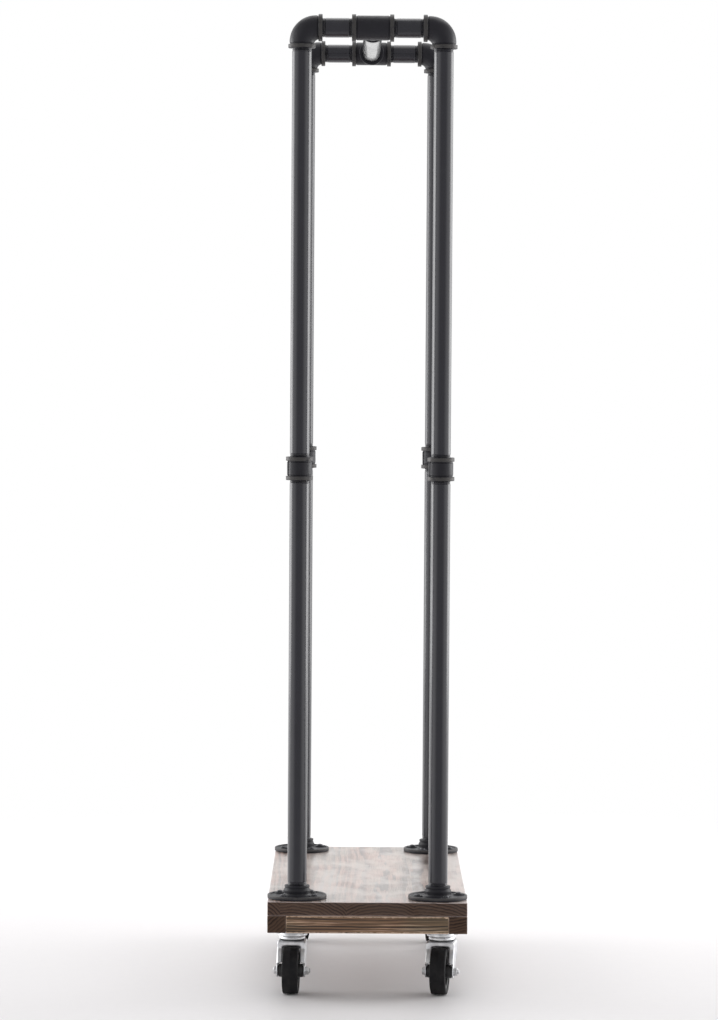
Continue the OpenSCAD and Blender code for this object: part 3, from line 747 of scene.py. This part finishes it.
def tyre_outline(radius, half):
    """Outline of a solid tyre: side wall with a fine ring, round shoulder, flat tread and mould line."""
    side = np.array([[30, half / MM - 1.2], [31, half / MM - 0.2], [34.4, half / MM]]) * MM
    t = np.linspace(0, np.pi / 2, 9)
    shoulder_r = 2.7 * MM
    crown = radius - 0.3 * MM
    arc = np.stack([crown - shoulder_r * (1 - np.sin(t)), half - shoulder_r * (1 - np.cos(t))], axis=1)
    line = np.array([[crown, 0.7 * MM], [radius, 0.25 * MM]])
    half_line = np.concatenate([side, arc, line])
    return np.concatenate([half_line, half_line[::-1] * [1, -1]])


HALF_TYRE, HALF_HUB, RIM_R = 13.5 * MM, 21.5 * MM, 30 * MM
for corner in CORNERS:
    _, wheel, axle = caster_frame(corner)
    body = f"wheel_{corner}"
    outline = tyre_outline(wheel[2], HALF_TYRE)
    wear = step(outline[:, :1], wheel[2] - 3 * MM, wheel[2] - 0.5 * MM)
    tyre = on_axle((turned(outline, 128), wear, True, True), wheel, axle)
    make_piece(f"rubber_tyre_{corner}", [tyre], body, "tyre_rubber", [f"wheel_tyre_{corner}"])
    centre = turned(wheel_centre(HALF_HUB, RIM_R), 96)
    centre = on_axle((centre, 0.0, True, True), wheel, axle)
    make_piece(f"wheel_centre_{corner}", [centre], body, "wheel_plastic", [f"wheel_core_{corner}"])
print("wheel radius in mm:", round(wheel[2] / MM, 1))

# %% [markdown]
# ## Shader nodes in short
# A material is a small graph, and writing it out node by node hides what it does. A few helpers keep each
# line to one idea: a node with its inputs, a product or sum of values, a value spread between two limits.


# %% Helpers for shader graphs
def feed(tree, socket, value):
    """Sets an input to a value, or joins another node's socket to it."""
    if isinstance(value, bpy.types.NodeSocket):
        tree.links.new(value, socket)
    else:
        socket.default_value = value


def put(tree, kind, inputs=None, **settings):
    """A node with its settings made; each input is given a value or joined to another node's socket."""
    node = tree.nodes.new(kind)
    for name, value in settings.items():
        setattr(node, name, value)
    for key, value in (inputs or {}).items():
        feed(tree, node.inputs[key], value)
    return node


def calc(tree, operation, a, b=0.0, c=0.0):
    """The result of a Math node."""
    return put(tree, "ShaderNodeMath", {0: a, 1: b, 2: c}, operation=operation).outputs[0]


def times(tree, a, b):
    """The product of two values."""
    return calc(tree, "MULTIPLY", a, b)


def scaled(tree, value, by, plus):
    """The value times one number plus another."""
    return calc(tree, "MULTIPLY_ADD", value, by, plus)


def spread(tree, value, low, high, to_low=0.0, to_high=1.0):
    """The value carried smoothly from low..high to to_low..to_high, and held there outside."""
    ends = {"From Min": low, "From Max": high, "To Min": to_low, "To Max": to_high}
    node = put(tree, "ShaderNodeMapRange", {"Value": value, **ends}, interpolation_type="SMOOTHSTEP")
    return node.outputs["Result"]


def mixed(tree, factor, a, b, blend="MIX"):
    """Two colours mixed by a factor."""
    node = put(tree, "ShaderNodeMix", {"Factor": factor}, data_type="RGBA", blend_type=blend)
    feed(tree, node.inputs[6], a)
    feed(tree, node.inputs[7], b)
    return node.outputs[2]


def grey(tree, value):
    """A colour whose three parts are the same value."""
    return put(tree, "ShaderNodeCombineColor", {0: value, 1: value, 2: value}).outputs[0]


def noise(tree, vector, scale, detail=2.0, rough=0.5, shift=(0, 0, 0)):
    """Fractal noise from 0 to 1; three scales draw it out along one direction."""
    if isinstance(scale, tuple):
        stretch = {"Vector": vector, "Scale": scale, "Location": shift}
        vector, scale = put(tree, "ShaderNodeMapping", stretch).outputs[0], 1.0
    inputs = {"Vector": vector, "Scale": scale, "Detail": detail, "Roughness": rough}
    return put(tree, "ShaderNodeTexNoise", inputs).outputs["Fac"]


def new_group(name, inputs, outputs):
    """A shader node group with named sockets; returns it with its input and output nodes."""
    tree = bpy.data.node_groups.new(name, "ShaderNodeTree")
    for label, kind, value in inputs:
        socket = tree.interface.new_socket(label, in_out="INPUT", socket_type=f"NodeSocket{kind}")
        if value is not None:
            socket.default_value = value
    for label, kind in outputs:
        tree.interface.new_socket(label, in_out="OUTPUT", socket_type=f"NodeSocket{kind}")
    return tree, tree.nodes.new("NodeGroupInput").outputs, tree.nodes.new("NodeGroupOutput").inputs


def send(tree, outputs, **results):
    """Joins results to the group's outputs; an underscore in a name stands for a space."""
    for name, socket in results.items():
        tree.links.new(socket, outputs[name.replace("_", " ")])


# %% [markdown]
# ## Effects that several finishes share
# Handling rubs edges bright, dust settles on what faces up, and a sprayed coat is never quite level. Each of
# these is a node group, so a finish only says how much of it there is.

# %% Edge wear: the rubbed mask on the points, broken up by noise
edge_wear, given, made = new_group(
    "rubbed edges", [("Vector", "Vector", None), ("Amount", "Float", 1.0)], [("Mask", "Float")]
)
rubbed = put(edge_wear, "ShaderNodeAttribute", attribute_name="wear").outputs["Fac"]
patchy = noise(edge_wear, given["Vector"], 140.0, 4.0, 0.65)
level = times(edge_wear, rubbed, given["Amount"])
level = calc(edge_wear, "ADD", level, scaled(edge_wear, patchy, 1.3, -0.65))
send(edge_wear, made, Mask=spread(edge_wear, level, 0.42, 0.72))

# %% Dust: thicker where the surface faces up, and clotted by noise
settled_dust, given, made = new_group(
    "settled dust", [("Vector", "Vector", None), ("Amount", "Float", 0.3)], [("Mask", "Float")]
)
facing = put(settled_dust, "ShaderNodeNewGeometry").outputs["Normal"]
facing = put(settled_dust, "ShaderNodeSeparateXYZ", {0: facing}).outputs["Z"]
clotted = noise(settled_dust, given["Vector"], 60.0, 5.0, 0.6)
upward = spread(settled_dust, facing, -0.1, 1.0, 0.1, 1.0)
amount = times(settled_dust, upward, spread(settled_dust, clotted, 0.35, 0.75))
send(settled_dust, made, Mask=times(settled_dust, amount, given["Amount"]))

# %% Sprayed coat: orange peel for the height, clouds for the gloss, and sparse fine scratches
sprayed_coat, given, made = new_group(
    "sprayed coat",
    [("Vector", "Vector", None), ("Peel Scale", "Float", 700.0)],
    [("Height", "Float"), ("Clouds", "Float"), ("Scratches", "Float")],
)
peel = noise(sprayed_coat, given["Vector"], given["Peel Scale"], 2.0, 0.5)
clouds = noise(sprayed_coat, given["Vector"], 18.0, 4.0, 0.6)
lines = noise(sprayed_coat, given["Vector"], (900, 900, 45), 2.0, 0.5)
where = spread(sprayed_coat, noise(sprayed_coat, given["Vector"], 9.0, 2.0), 0.5, 0.7)
scratches = times(sprayed_coat, spread(sprayed_coat, lines, 0.66, 0.72), where)
send(sprayed_coat, made, Height=peel, Clouds=clouds, Scratches=scratches)
print("shared effects:", ", ".join(group.name for group in bpy.data.node_groups))


# %% A new finish, with its shader and the place of each point
def new_finish(name, **uniform):
    """A material with a Principled shader whose uniform values are set on its own sockets."""
    material = bpy.data.materials.new(name)
    material.use_nodes = True
    tree = material.node_tree
    shader = tree.nodes["Principled BSDF"]
    for label, value in uniform.items():
        shader.inputs[label.replace("_", " ")].default_value = value
    return material, tree, shader, put(tree, "ShaderNodeTexCoord").outputs["Object"]


def use(tree, group, **inputs):
    """The outputs of a node group placed in a material."""
    named = {label.replace("_", " "): value for label, value in inputs.items()}
    return put(tree, "ShaderNodeGroup", named, node_tree=group).outputs


def wire(tree, shader, height=None, strength=0.3, reach=0.4 * MM, **results):
    """Joins results to the shader, and a height through a Bump node."""
    for label, socket in results.items():
        tree.links.new(socket, shader.inputs[label.replace("_", " ")])
    if height is not None:
        bump = put(tree, "ShaderNodeBump", {"Strength": strength, "Distance": reach, "Height": height})
        tree.links.new(bump.outputs[0], shader.inputs["Normal"])


# %% [markdown]
# ## Black pipe and black fittings
# The pipes have a thin satin coat straight over drawn steel, so they mirror softly and their thread crests
# show dark metal. The fittings wear the same black over a sand-cast skin, which breaks the reflection up.

# %% Satin coat on the pipes
pipe_black, tree, shader, place = new_finish("satin black pipe coat", Coat_Weight=0.35, Coat_Roughness=0.1)
coat = use(tree, sprayed_coat, Vector=place, Peel_Scale=650.0)
dust = use(tree, settled_dust, Vector=place, Amount=0.06)["Mask"]
rubbed = use(tree, edge_wear, Vector=place, Amount=0.75)["Mask"]
paint = mixed(tree, coat["Clouds"], (0.0082, 0.0078, 0.0145, 1), (0.012, 0.0115, 0.0195, 1))
paint = mixed(tree, times(tree, coat["Scratches"], 0.2), paint, (0.09, 0.09, 0.095, 1))
paint = mixed(tree, times(tree, rubbed, 0.7), paint, (0.07, 0.068, 0.066, 1))
paint = mixed(tree, dust, paint, (0.3, 0.29, 0.28, 1))
gloss = spread(tree, coat["Clouds"], 0.3, 0.7, 0.2, 0.27)
gloss = calc(tree, "ADD", gloss, times(tree, dust, 1.2))
metal = times(tree, rubbed, 0.6)
wire(tree, shader, coat["Height"], 0.04, 0.15 * MM, Base_Color=paint, Roughness=gloss, Metallic=metal)

# %% Black coat over a sand-cast skin
sand_skin, given, made = new_group(
    "sand-cast skin", [("Vector", "Vector", None), ("Grain Scale", "Float", 420.0)],
    [("Height", "Float"), ("Pits", "Float")],
)
grit = noise(sand_skin, given["Vector"], given["Grain Scale"], 5.0, 0.7)
coarse = noise(sand_skin, given["Vector"], 95.0, 3.0, 0.6)
cells = {"Vector": given["Vector"], "Scale": times(sand_skin, given["Grain Scale"], 0.7)}
pit = spread(sand_skin, put(sand_skin, "ShaderNodeTexVoronoi", cells).outputs["Distance"], 0.05, 0.3)
pit = calc(sand_skin, "SUBTRACT", 1.0, pit)
level = scaled(sand_skin, coarse, 0.9, times(sand_skin, grit, 0.6))
level = scaled(sand_skin, pit, -0.25, level)
send(sand_skin, made, Height=level, Pits=pit)

cast_black, tree, shader, place = new_finish("black coat on cast iron", Specular_IOR_Level=0.36)
skin = use(tree, sand_skin, Vector=place, Grain_Scale=430.0)
dust = use(tree, settled_dust, Vector=place, Amount=0.02)["Mask"]
rubbed = use(tree, edge_wear, Vector=place, Amount=0.72)["Mask"]
iron = mixed(tree, skin["Height"], (0.0062, 0.0058, 0.0095, 1), (0.0115, 0.0108, 0.0165, 1))
iron = mixed(tree, times(tree, rubbed, 0.55), iron, (0.11, 0.105, 0.10, 1))
iron = mixed(tree, dust, iron, (0.26, 0.25, 0.24, 1))
gloss = spread(tree, skin["Height"], 0.4, 1.1, 0.36, 0.5)
gloss = calc(tree, "ADD", gloss, times(tree, dust, 0.9))
wire(
    tree, shader, skin["Height"], 0.22, 0.3 * MM,
    Base_Color=iron, Roughness=gloss, Metallic=times(tree, rubbed, 0.5),
)

# %% The hanging rail: the same coat, polished through along its top by hangers
rail_steel, tree, shader, place = new_finish(
    "rail coat rubbed by hangers", Coat_Weight=0.5, Coat_Roughness=0.08
)
coat = use(tree, sprayed_coat, Vector=place, Peel_Scale=650.0)
facing = put(tree, "ShaderNodeSeparateXYZ", {0: put(tree, "ShaderNodeNewGeometry").outputs["Normal"]})
hooks = noise(tree, place, (40, 420, 40), 4.0, 0.65)
rubbed = times(tree, spread(tree, facing.outputs["Z"], 0.75, 1.0), spread(tree, hooks, 0.45, 0.62))
rubbed = calc(tree, "MAXIMUM", rubbed, use(tree, edge_wear, Vector=place, Amount=0.75)["Mask"])
paint = mixed(tree, coat["Clouds"], (0.009, 0.0095, 0.011, 1), (0.017, 0.0175, 0.02, 1))
paint = mixed(tree, times(tree, rubbed, 0.75), paint, (0.16, 0.158, 0.155, 1))
gloss = spread(tree, coat["Clouds"], 0.3, 0.7, 0.2, 0.3)
wire(
    tree, shader, coat["Height"], 0.10, 0.15 * MM,
    Base_Color=paint, Roughness=gloss, Metallic=times(tree, rubbed, 0.8),
)
print("black finishes made")

# %% [markdown]
# ## Torched pine
# The look of this wood is in its solid, not on its skin: growth rings are cylinders round a pith that runs
# along the grain, so one pattern in space gives long streaks on the faces and arcs on the sawn ends. Each
# stave of the glued panel has its own pith. Fire darkens the late wood most, and the pale lime wash stays
# in the open early wood. The deck is paler than the rails and mottled with pale blotches: partly lime wash,
# partly painted sheen for its bright grazing reflection. A sawn end has no coat and shows bare dark rings.

# %% Solid wood as a function of place, with the grain along Y
torched_pine, given, made = new_group(
    "torched pine",
    [
        ("Vector", "Vector", None),
        ("Stave Width", "Float", 0.114),
        ("Ring Width", "Float", 0.0052),
        ("Early Wood", "Color", (0.3, 0.2, 0.13, 1)),
        ("Late Wood", "Color", (0.09, 0.05, 0.03, 1)),
        ("Char", "Color", (0.02, 0.012, 0.008, 1)),
        ("Lime", "Color", (0.6, 0.52, 0.45, 1)),
        ("Char Amount", "Float", 0.5),
        ("Lime Amount", "Float", 0.3),
    ],
    [("Color", "Color"), ("Height", "Float"), ("Open Grain", "Float")],
)
tree, spot = torched_pine, given["Vector"]
parts = put(tree, "ShaderNodeSeparateXYZ", {0: spot}).outputs
stave = calc(tree, "FLOOR", calc(tree, "DIVIDE", parts["X"], given["Stave Width"]))
chance = put(tree, "ShaderNodeTexWhiteNoise", {"W": stave}, noise_dimensions="1D").outputs["Color"]
chance = put(tree, "ShaderNodeSeparateColor", {0: chance}).outputs
bend = noise(tree, spot, (5, 1.1, 5), 2.0)
bend = scaled(tree, bend, 0.05, -0.025)
waver = noise(tree, spot, (60, 5, 60), 3.0)
waver = scaled(tree, waver, 0.007, -0.0035)
middle = times(tree, calc(tree, "ADD", stave, chance["Red"]), given["Stave Width"])
off_x = calc(tree, "ADD", calc(tree, "SUBTRACT", parts["X"], middle), bend)
off_z = calc(tree, "ADD", parts["Z"], scaled(tree, chance["Green"], 0.12, 0.09))
radius = calc(tree, "SQRT", scaled(tree, off_x, off_x, times(tree, off_z, off_z)))
year = calc(tree, "DIVIDE", calc(tree, "ADD", radius, waver), given["Ring Width"])
ring = calc(tree, "FRACT", year)
width = put(tree, "ShaderNodeTexWhiteNoise", {"W": calc(tree, "FLOOR", year)}, noise_dimensions="1D")
late = times(tree, spread(tree, ring, 0.3, 0.86), spread(tree, ring, 0.93, 1.0, 1.0, 0.0))
late = times(tree, late, spread(tree, width.outputs["Value"], 0.0, 0.7, 0.45, 1.0))
fibre = noise(tree, spot, (1100, 22, 1100), 4.0, 0.6)
streak = noise(tree, spot, (75, 2.1, 75), 3.0, 0.55)
cloud = noise(tree, spot, (11, 2.4, 11), 3.0, 0.55, shift=(3.1, 0, 1.7))
wood = mixed(tree, late, given["Early Wood"], given["Late Wood"])
shade = spread(tree, fibre, 0.25, 0.75, 0.72, 1.25)
wood = mixed(tree, 1.0, wood, grey(tree, shade), "MULTIPLY")
burnt = scaled(tree, cloud, 0.9, times(tree, streak, 0.5))
burnt = scaled(tree, late, 0.35, burnt)
burnt = times(tree, spread(tree, burnt, 0.62, 1.15), given["Char Amount"])
wood = mixed(tree, burnt, wood, given["Char"])
thread = noise(tree, spot, (330, 6, 330), 3.0, 0.6)
thread = scaled(tree, streak, 0.6, times(tree, thread, 0.6))
washed = times(tree, spread(tree, thread, 0.58, 0.74), spread(tree, fibre, 0.3, 0.6))
washed = times(tree, washed, scaled(tree, late, -0.6, 1.0))
wood = mixed(tree, times(tree, washed, given["Lime Amount"]), wood, given["Lime"])
warmth = noise(tree, spot, (19, 5, 19), 3.0, 0.55, shift=(0.7, 2.3, 5.1))
tint = mixed(tree, spread(tree, warmth, 0.36, 0.64), (1.12, 0.97, 0.88, 1), (0.88, 0.94, 0.9, 1))
wood = mixed(tree, 1.0, wood, tint, "MULTIPLY")
relief = scaled(tree, late, 0.6, times(tree, fibre, 0.8))
send(tree, made, Color=wood, Height=relief, Open_Grain=calc(tree, "SUBTRACT", 1.0, late))


# %% Three finishes of the same pine
CHAR = (0.022, 0.014, 0.010, 1)
# The pale colour of the deck's blotches: partly lime wash, partly painted sheen.
LIME_WASH_AND_SHEEN = (0.56, 0.49, 0.46, 1)
END_EARLY, END_LATE = (0.078, 0.046, 0.031, 1), (0.017, 0.009, 0.007, 1)


def pine_finish(name, turn, seed, colours, amounts, gloss, stave, coat, bump, lime_and_sheen=0.0):
    """Pine with its grain along the board, pale blotches of lime wash and painted sheen, bare sawn ends, pale
    edges and a satin coat.
    """
    material, tree, shader, place = new_finish(name, Coat_Roughness=0.22)
    base_middle = (seed, 0.3 * seed, -0.137)
    along = put(
        tree, "ShaderNodeMapping",
        {"Vector": place, "Location": base_middle, "Rotation": (0, 0, math.radians(turn))},
    ).outputs[0]
    early, late, char, lime = colours
    wood = use(
        tree, torched_pine, Vector=along, Stave_Width=stave, Early_Wood=early, Late_Wood=late,
        Char=char, Lime=lime, Char_Amount=amounts[0], Lime_Amount=amounts[1],
    )
    rubbed = use(tree, edge_wear, Vector=place, Amount=0.8)["Mask"]
    normal = put(tree, "ShaderNodeNewGeometry").outputs["Normal"]
    grain = (math.sin(math.radians(turn)), math.cos(math.radians(turn)), 0)
    sawn = put(tree, "ShaderNodeVectorMath", {0: normal, 1: grain}, operation="DOT_PRODUCT")
    sawn = spread(tree, calc(tree, "ABSOLUTE", sawn.outputs["Value"]), 0.7, 0.95)
    # Painted sheen: pale blotches on the deck, partly lime wash and partly standing in for the bright grazing
    # reflection of its coat.
    lime_and_sheen_patches = noise(tree, place, (22, 10, 22), 4.0, 0.55, shift=(seed, 0, 0))
    lime_and_sheen_patches = times(tree, spread(tree, lime_and_sheen_patches, 0.38, 0.66), lime_and_sheen)
    specks = noise(tree, place, (420, 60, 420), 3.0, 0.6)
    between = spread(tree, lime_and_sheen_patches, 0.0, 0.5, lime_and_sheen, 0.0)
    specks = times(tree, spread(tree, specks, 0.66, 0.74), between)
    colour = mixed(tree, lime_and_sheen_patches, wood["Color"], LIME_WASH_AND_SHEEN)
    colour = mixed(tree, specks, colour, late)
    end_face = mixed(tree, wood["Open Grain"], END_LATE, END_EARLY)
    colour = mixed(tree, times(tree, sawn, 0.95), colour, end_face)
    colour = mixed(tree, times(tree, rubbed, spread(tree, sawn, 0, 1, 0.6, 0.02)), colour, lime)
    rough = spread(tree, wood["Open Grain"], 0.0, 1.0, gloss, gloss + 0.14)
    wire(
        tree, shader, wood["Height"], bump, 0.35 * MM, Base_Color=colour, Roughness=rough,
        Coat_Weight=spread(tree, sawn, 0, 1, coat, 0.0),
        Specular_IOR_Level=spread(tree, sawn, 0, 1, 0.4, 0.12),
    )
    return material


# The panel's wood is far paler than the rails': partly lime wash, partly painted sheen that stands in for the
# deck's bright grazing reflection.
top_wood = pine_finish(
    "limed and torched pine panel", 0, 0.035,
    ((0.38, 0.30, 0.28, 1), (0.26, 0.185, 0.165, 1), CHAR, (0.56, 0.46, 0.45, 1)),
    (0.8, 0.35), 0.3, 0.114, 0.55, 0.06, 0.6,
)
side_wood = pine_finish(
    "dark torched pine rail", 0, 0.61,
    ((0.12, 0.075, 0.055, 1), (0.045, 0.026, 0.022, 1), CHAR, (0.3, 0.22, 0.18, 1)),
    (0.8, 0.25), 0.42, 0.21, 0.15, 0.4,
)
end_wood = pine_finish(
    "brown torched pine rail", 90, 0.27,
    ((0.18, 0.115, 0.068, 1), (0.03, 0.018, 0.012, 1), CHAR, (0.85, 0.62, 0.46, 1)),
    (0.85, 0.95), 0.45, 0.19, 0.08, 0.4,
)
print("wood finishes made")

# %% [markdown]
# ## Bright metal, rubber and plastic
# Zinc plate is a bright grey metal with faint clouds, and painted shade darkens its narrow gaps. The
# screws of the flanges are blackened like the iron. The tyres are black rubber that picks up dust where they
# roll, and the wheel centres are moulded black plastic.


# %% Zinc plate, screws and balls
def plated_finish(name, bright, dull, gloss, spangle):
    """A metal whose tint and gloss vary in clouds, with fine lines for its bump and painted shade in its
    gaps.
    """
    material, tree, shader, place = new_finish(name)
    clouds = noise(tree, place, spangle, 4.0, 0.6)
    fine = noise(tree, place, (900, 900, 120), 3.0, 0.6)
    tint = mixed(tree, spread(tree, clouds, 0.35, 0.68), dull, bright)
    rough = spread(tree, clouds, 0.3, 0.7, gloss + 0.1, gloss)
    rough = scaled(tree, fine, 0.08, rough)
    # Painted shade: ambient occlusion darkens and dulls the metal in its gaps and narrow recesses, where
    # shade falls.
    open_air = put(tree, "ShaderNodeAmbientOcclusion", {"Distance": 7 * MM}, samples=8).outputs["AO"]
    crevice_shade = spread(tree, open_air, 0.12, 0.62, 0.92, 0.0)
    tint = mixed(tree, crevice_shade, tint, (0.012, 0.012, 0.013, 1))
    wire(
        tree, shader, fine, 0.12, 0.1 * MM, Base_Color=tint,
        Roughness=scaled(tree, crevice_shade, 0.3, rough),
        Metallic=scaled(tree, crevice_shade, -0.7, 1.0),
    )
    return material


zinc_steel = plated_finish("zinc plated sheet", (0.86, 0.865, 0.88, 1), (0.68, 0.69, 0.71, 1), 0.3, 85.0)
screw_steel = plated_finish("zinc plated screws", (0.84, 0.84, 0.85, 1), (0.55, 0.55, 0.56, 1), 0.28, 260.0)
screw_black = plated_finish("blackened screws", (0.16, 0.16, 0.17, 1), (0.05, 0.05, 0.055, 1), 0.3, 260.0)
ball_steel = plated_finish("greased steel balls", (0.75, 0.75, 0.76, 1), (0.3, 0.27, 0.22, 1), 0.08, 400.0)

# %% Rubber and plastic
tyre_rubber, tree, shader, place = new_finish("black rubber tyre", Specular_IOR_Level=0.16)
grain = noise(tree, place, 900.0, 4.0, 0.65)
patch = noise(tree, place, 55.0, 4.0, 0.6)
rolled = put(tree, "ShaderNodeAttribute", attribute_name="wear").outputs["Fac"]
dusty = times(tree, rolled, spread(tree, patch, 0.35, 0.75, 0.05, 0.4))
rubber = mixed(tree, patch, (0.005, 0.005, 0.0065, 1), (0.009, 0.009, 0.0105, 1))
rubber = mixed(tree, dusty, rubber, (0.04, 0.038, 0.036, 1))
rough = scaled(tree, dusty, 0.5, spread(tree, grain, 0.3, 0.7, 0.42, 0.56))
wire(tree, shader, grain, 0.25, 0.15 * MM, Base_Color=rubber, Roughness=rough)

wheel_plastic, tree, shader, place = new_finish("moulded black plastic")
grain = noise(tree, place, 1300.0, 2.0, 0.5)
patch = noise(tree, place, 70.0, 3.0, 0.6)
plastic = mixed(tree, patch, (0.01, 0.01, 0.011, 1), (0.022, 0.022, 0.023, 1))
wire(
    tree, shader, grain, 0.2, 0.1 * MM,
    Base_Color=plastic, Roughness=spread(tree, patch, 0.3, 0.7, 0.3, 0.44),
)

# %% Each finish on its pieces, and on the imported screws, rivets and balls that keep their own shape
FINISHES = {
    "pipe_black": pipe_black, "cast_black": cast_black, "rail_steel": rail_steel,
    "top_wood": top_wood, "side_wood": side_wood, "end_wood": end_wood,
    "zinc_steel": zinc_steel, "screw_steel": screw_steel, "ball_steel": ball_steel,
    "wheel_plastic": wheel_plastic, "tyre_rubber": tyre_rubber,
}
for slot, pieces in finishes.items():
    for piece in pieces:
        piece.data.materials.append(FINISHES[slot])
KEPT = {
    "frame_screws": screw_steel, "flange_screws": screw_black, "caster_screws": screw_steel,
    "kingpins": zinc_steel, "bearing_balls": ball_steel,
}
for node, material in KEPT.items():
    kept = frame["nodes"][node]
    kept.data.materials.clear()
    kept.data.materials.append(material)
print("pieces made:", sum(len(pieces) for pieces in finishes.values()), "kept nodes:", len(KEPT))

# %% [markdown]
# ## The studio
# Black gloss has no colour of its own to show: it shows the room. The rack stands in a white room that is
# bright behind and beside it and dimmer on the viewer's side, which leaves the faces of the pipes black and
# draws a bright line down both of their edges. The floor is a disc that fades out into the white.

# %% Floor
FLOOR_R = 2.6
BELOW_TYRES = 0.4 * MM
rings = np.linspace(0, FLOOR_R, 24)[:, None]
disc = polar(rings, around(96), -BELOW_TYRES + 0 * rings)
floor_mesh = bpy.data.meshes.new("studio floor")
floor_mesh.from_pydata(disc.reshape(-1, 3).tolist(), [], grid_quads(24, 96, False, True).tolist())
close_mesh(floor_mesh, 30)
if floor_mesh.polygons[0].normal.z < 0:
    floor_mesh.flip_normals()
floor = bpy.data.objects.new("studio_floor", floor_mesh)
bpy.context.scene.collection.objects.link(floor)
floor_white, tree, shader, place = new_finish("white studio floor", Roughness=0.55, Specular_IOR_Level=0.3)
away = put(tree, "ShaderNodeVectorMath", {0: place}, operation="LENGTH").outputs["Value"]
fade = spread(tree, away, 0.9, 2.4, 1.0, 0.0)
faint = noise(tree, place, 40.0, 3.0)
tone = mixed(tree, faint, (0.755, 0.738, 0.745, 1), (0.775, 0.758, 0.765, 1))
wire(tree, shader, Base_Color=tone, Alpha=fade)
floor_mesh.materials.append(floor_white)

# %% World: white to the camera, and a gradient of light to everything else
world = bpy.data.worlds.new("white room")
bpy.context.scene.world = world
world.use_nodes = True
tree = world.node_tree
shine = tree.nodes["Background"]
direction = put(tree, "ShaderNodeSeparateXYZ", {0: put(tree, "ShaderNodeTexCoord").outputs["Generated"]})
beside = spread(tree, calc(tree, "ABSOLUTE", direction.outputs["X"]), 0.45, 0.95)
level = spread(tree, direction.outputs["Z"], 0.25, 0.8, 1.0, 0.0)
behind = spread(tree, direction.outputs["Y"], 0.0, 0.8)
light = scaled(tree, behind, 0.55, 0.52)
light = scaled(tree, times(tree, beside, level), 0.9, light)
seen = put(tree, "ShaderNodeLightPath").outputs["Is Camera Ray"]
tree.links.new(mixed(tree, seen, grey(tree, light), (1, 1, 1, 1)), shine.inputs["Color"])


# %% Soft boxes
def soft_box(name, place, aim, size, power, mirrored=True):
    """A square area light at a place, turned to face the aim; one that is not mirrored only lights."""
    lamp = bpy.data.lights.new(name, "AREA")
    lamp.shape, lamp.size, lamp.energy = "SQUARE", size, power
    box = bpy.data.objects.new(name, lamp)
    box.location = place
    box.rotation_euler = (Vector(aim) - Vector(place)).to_track_quat("-Z", "Y").to_euler()
    box.visible_glossy = mirrored
    bpy.context.scene.collection.objects.link(box)


soft_box("overhead box", (0.2, 1.0, 3.4), (0, 0, 0.4), 2.4, 16)
soft_box("back box", (0.3, 3.2, 0.9), (0, 0, 0.1), 1.8, 52, mirrored=False)
soft_box("right box", (3.0, 0.9, 1.3), (0, 0, 0.7), 2.2, 44)
soft_box("left box", (-3.0, 0.9, 1.3), (0, 0, 0.7), 2.2, 44)

# %% Camera: far off, a little above the middle, looking along the rack
lens = bpy.data.cameras.new("view along the rack")
lens.lens, lens.sensor_fit, lens.clip_end = 143.0, "VERTICAL", 50
lens.sensor_height = lens.sensor_width = 36.0
camera = bpy.data.objects.new("view along the rack", lens)
pitch, yaw, roll = math.radians(90) - 0.0436, -0.0013, 0.0065
turn = Matrix.Rotation(yaw, 4, "Z") @ Matrix.Rotation(pitch, 4, "X") @ Matrix.Rotation(roll, 4, "Z")
camera.matrix_world = Matrix.Translation((-0.0277, -7.249, 1.1336)) @ turn
bpy.context.scene.collection.objects.link(camera)
bpy.context.scene.camera = camera
bpy.context.scene.view_settings.view_transform = "Standard"
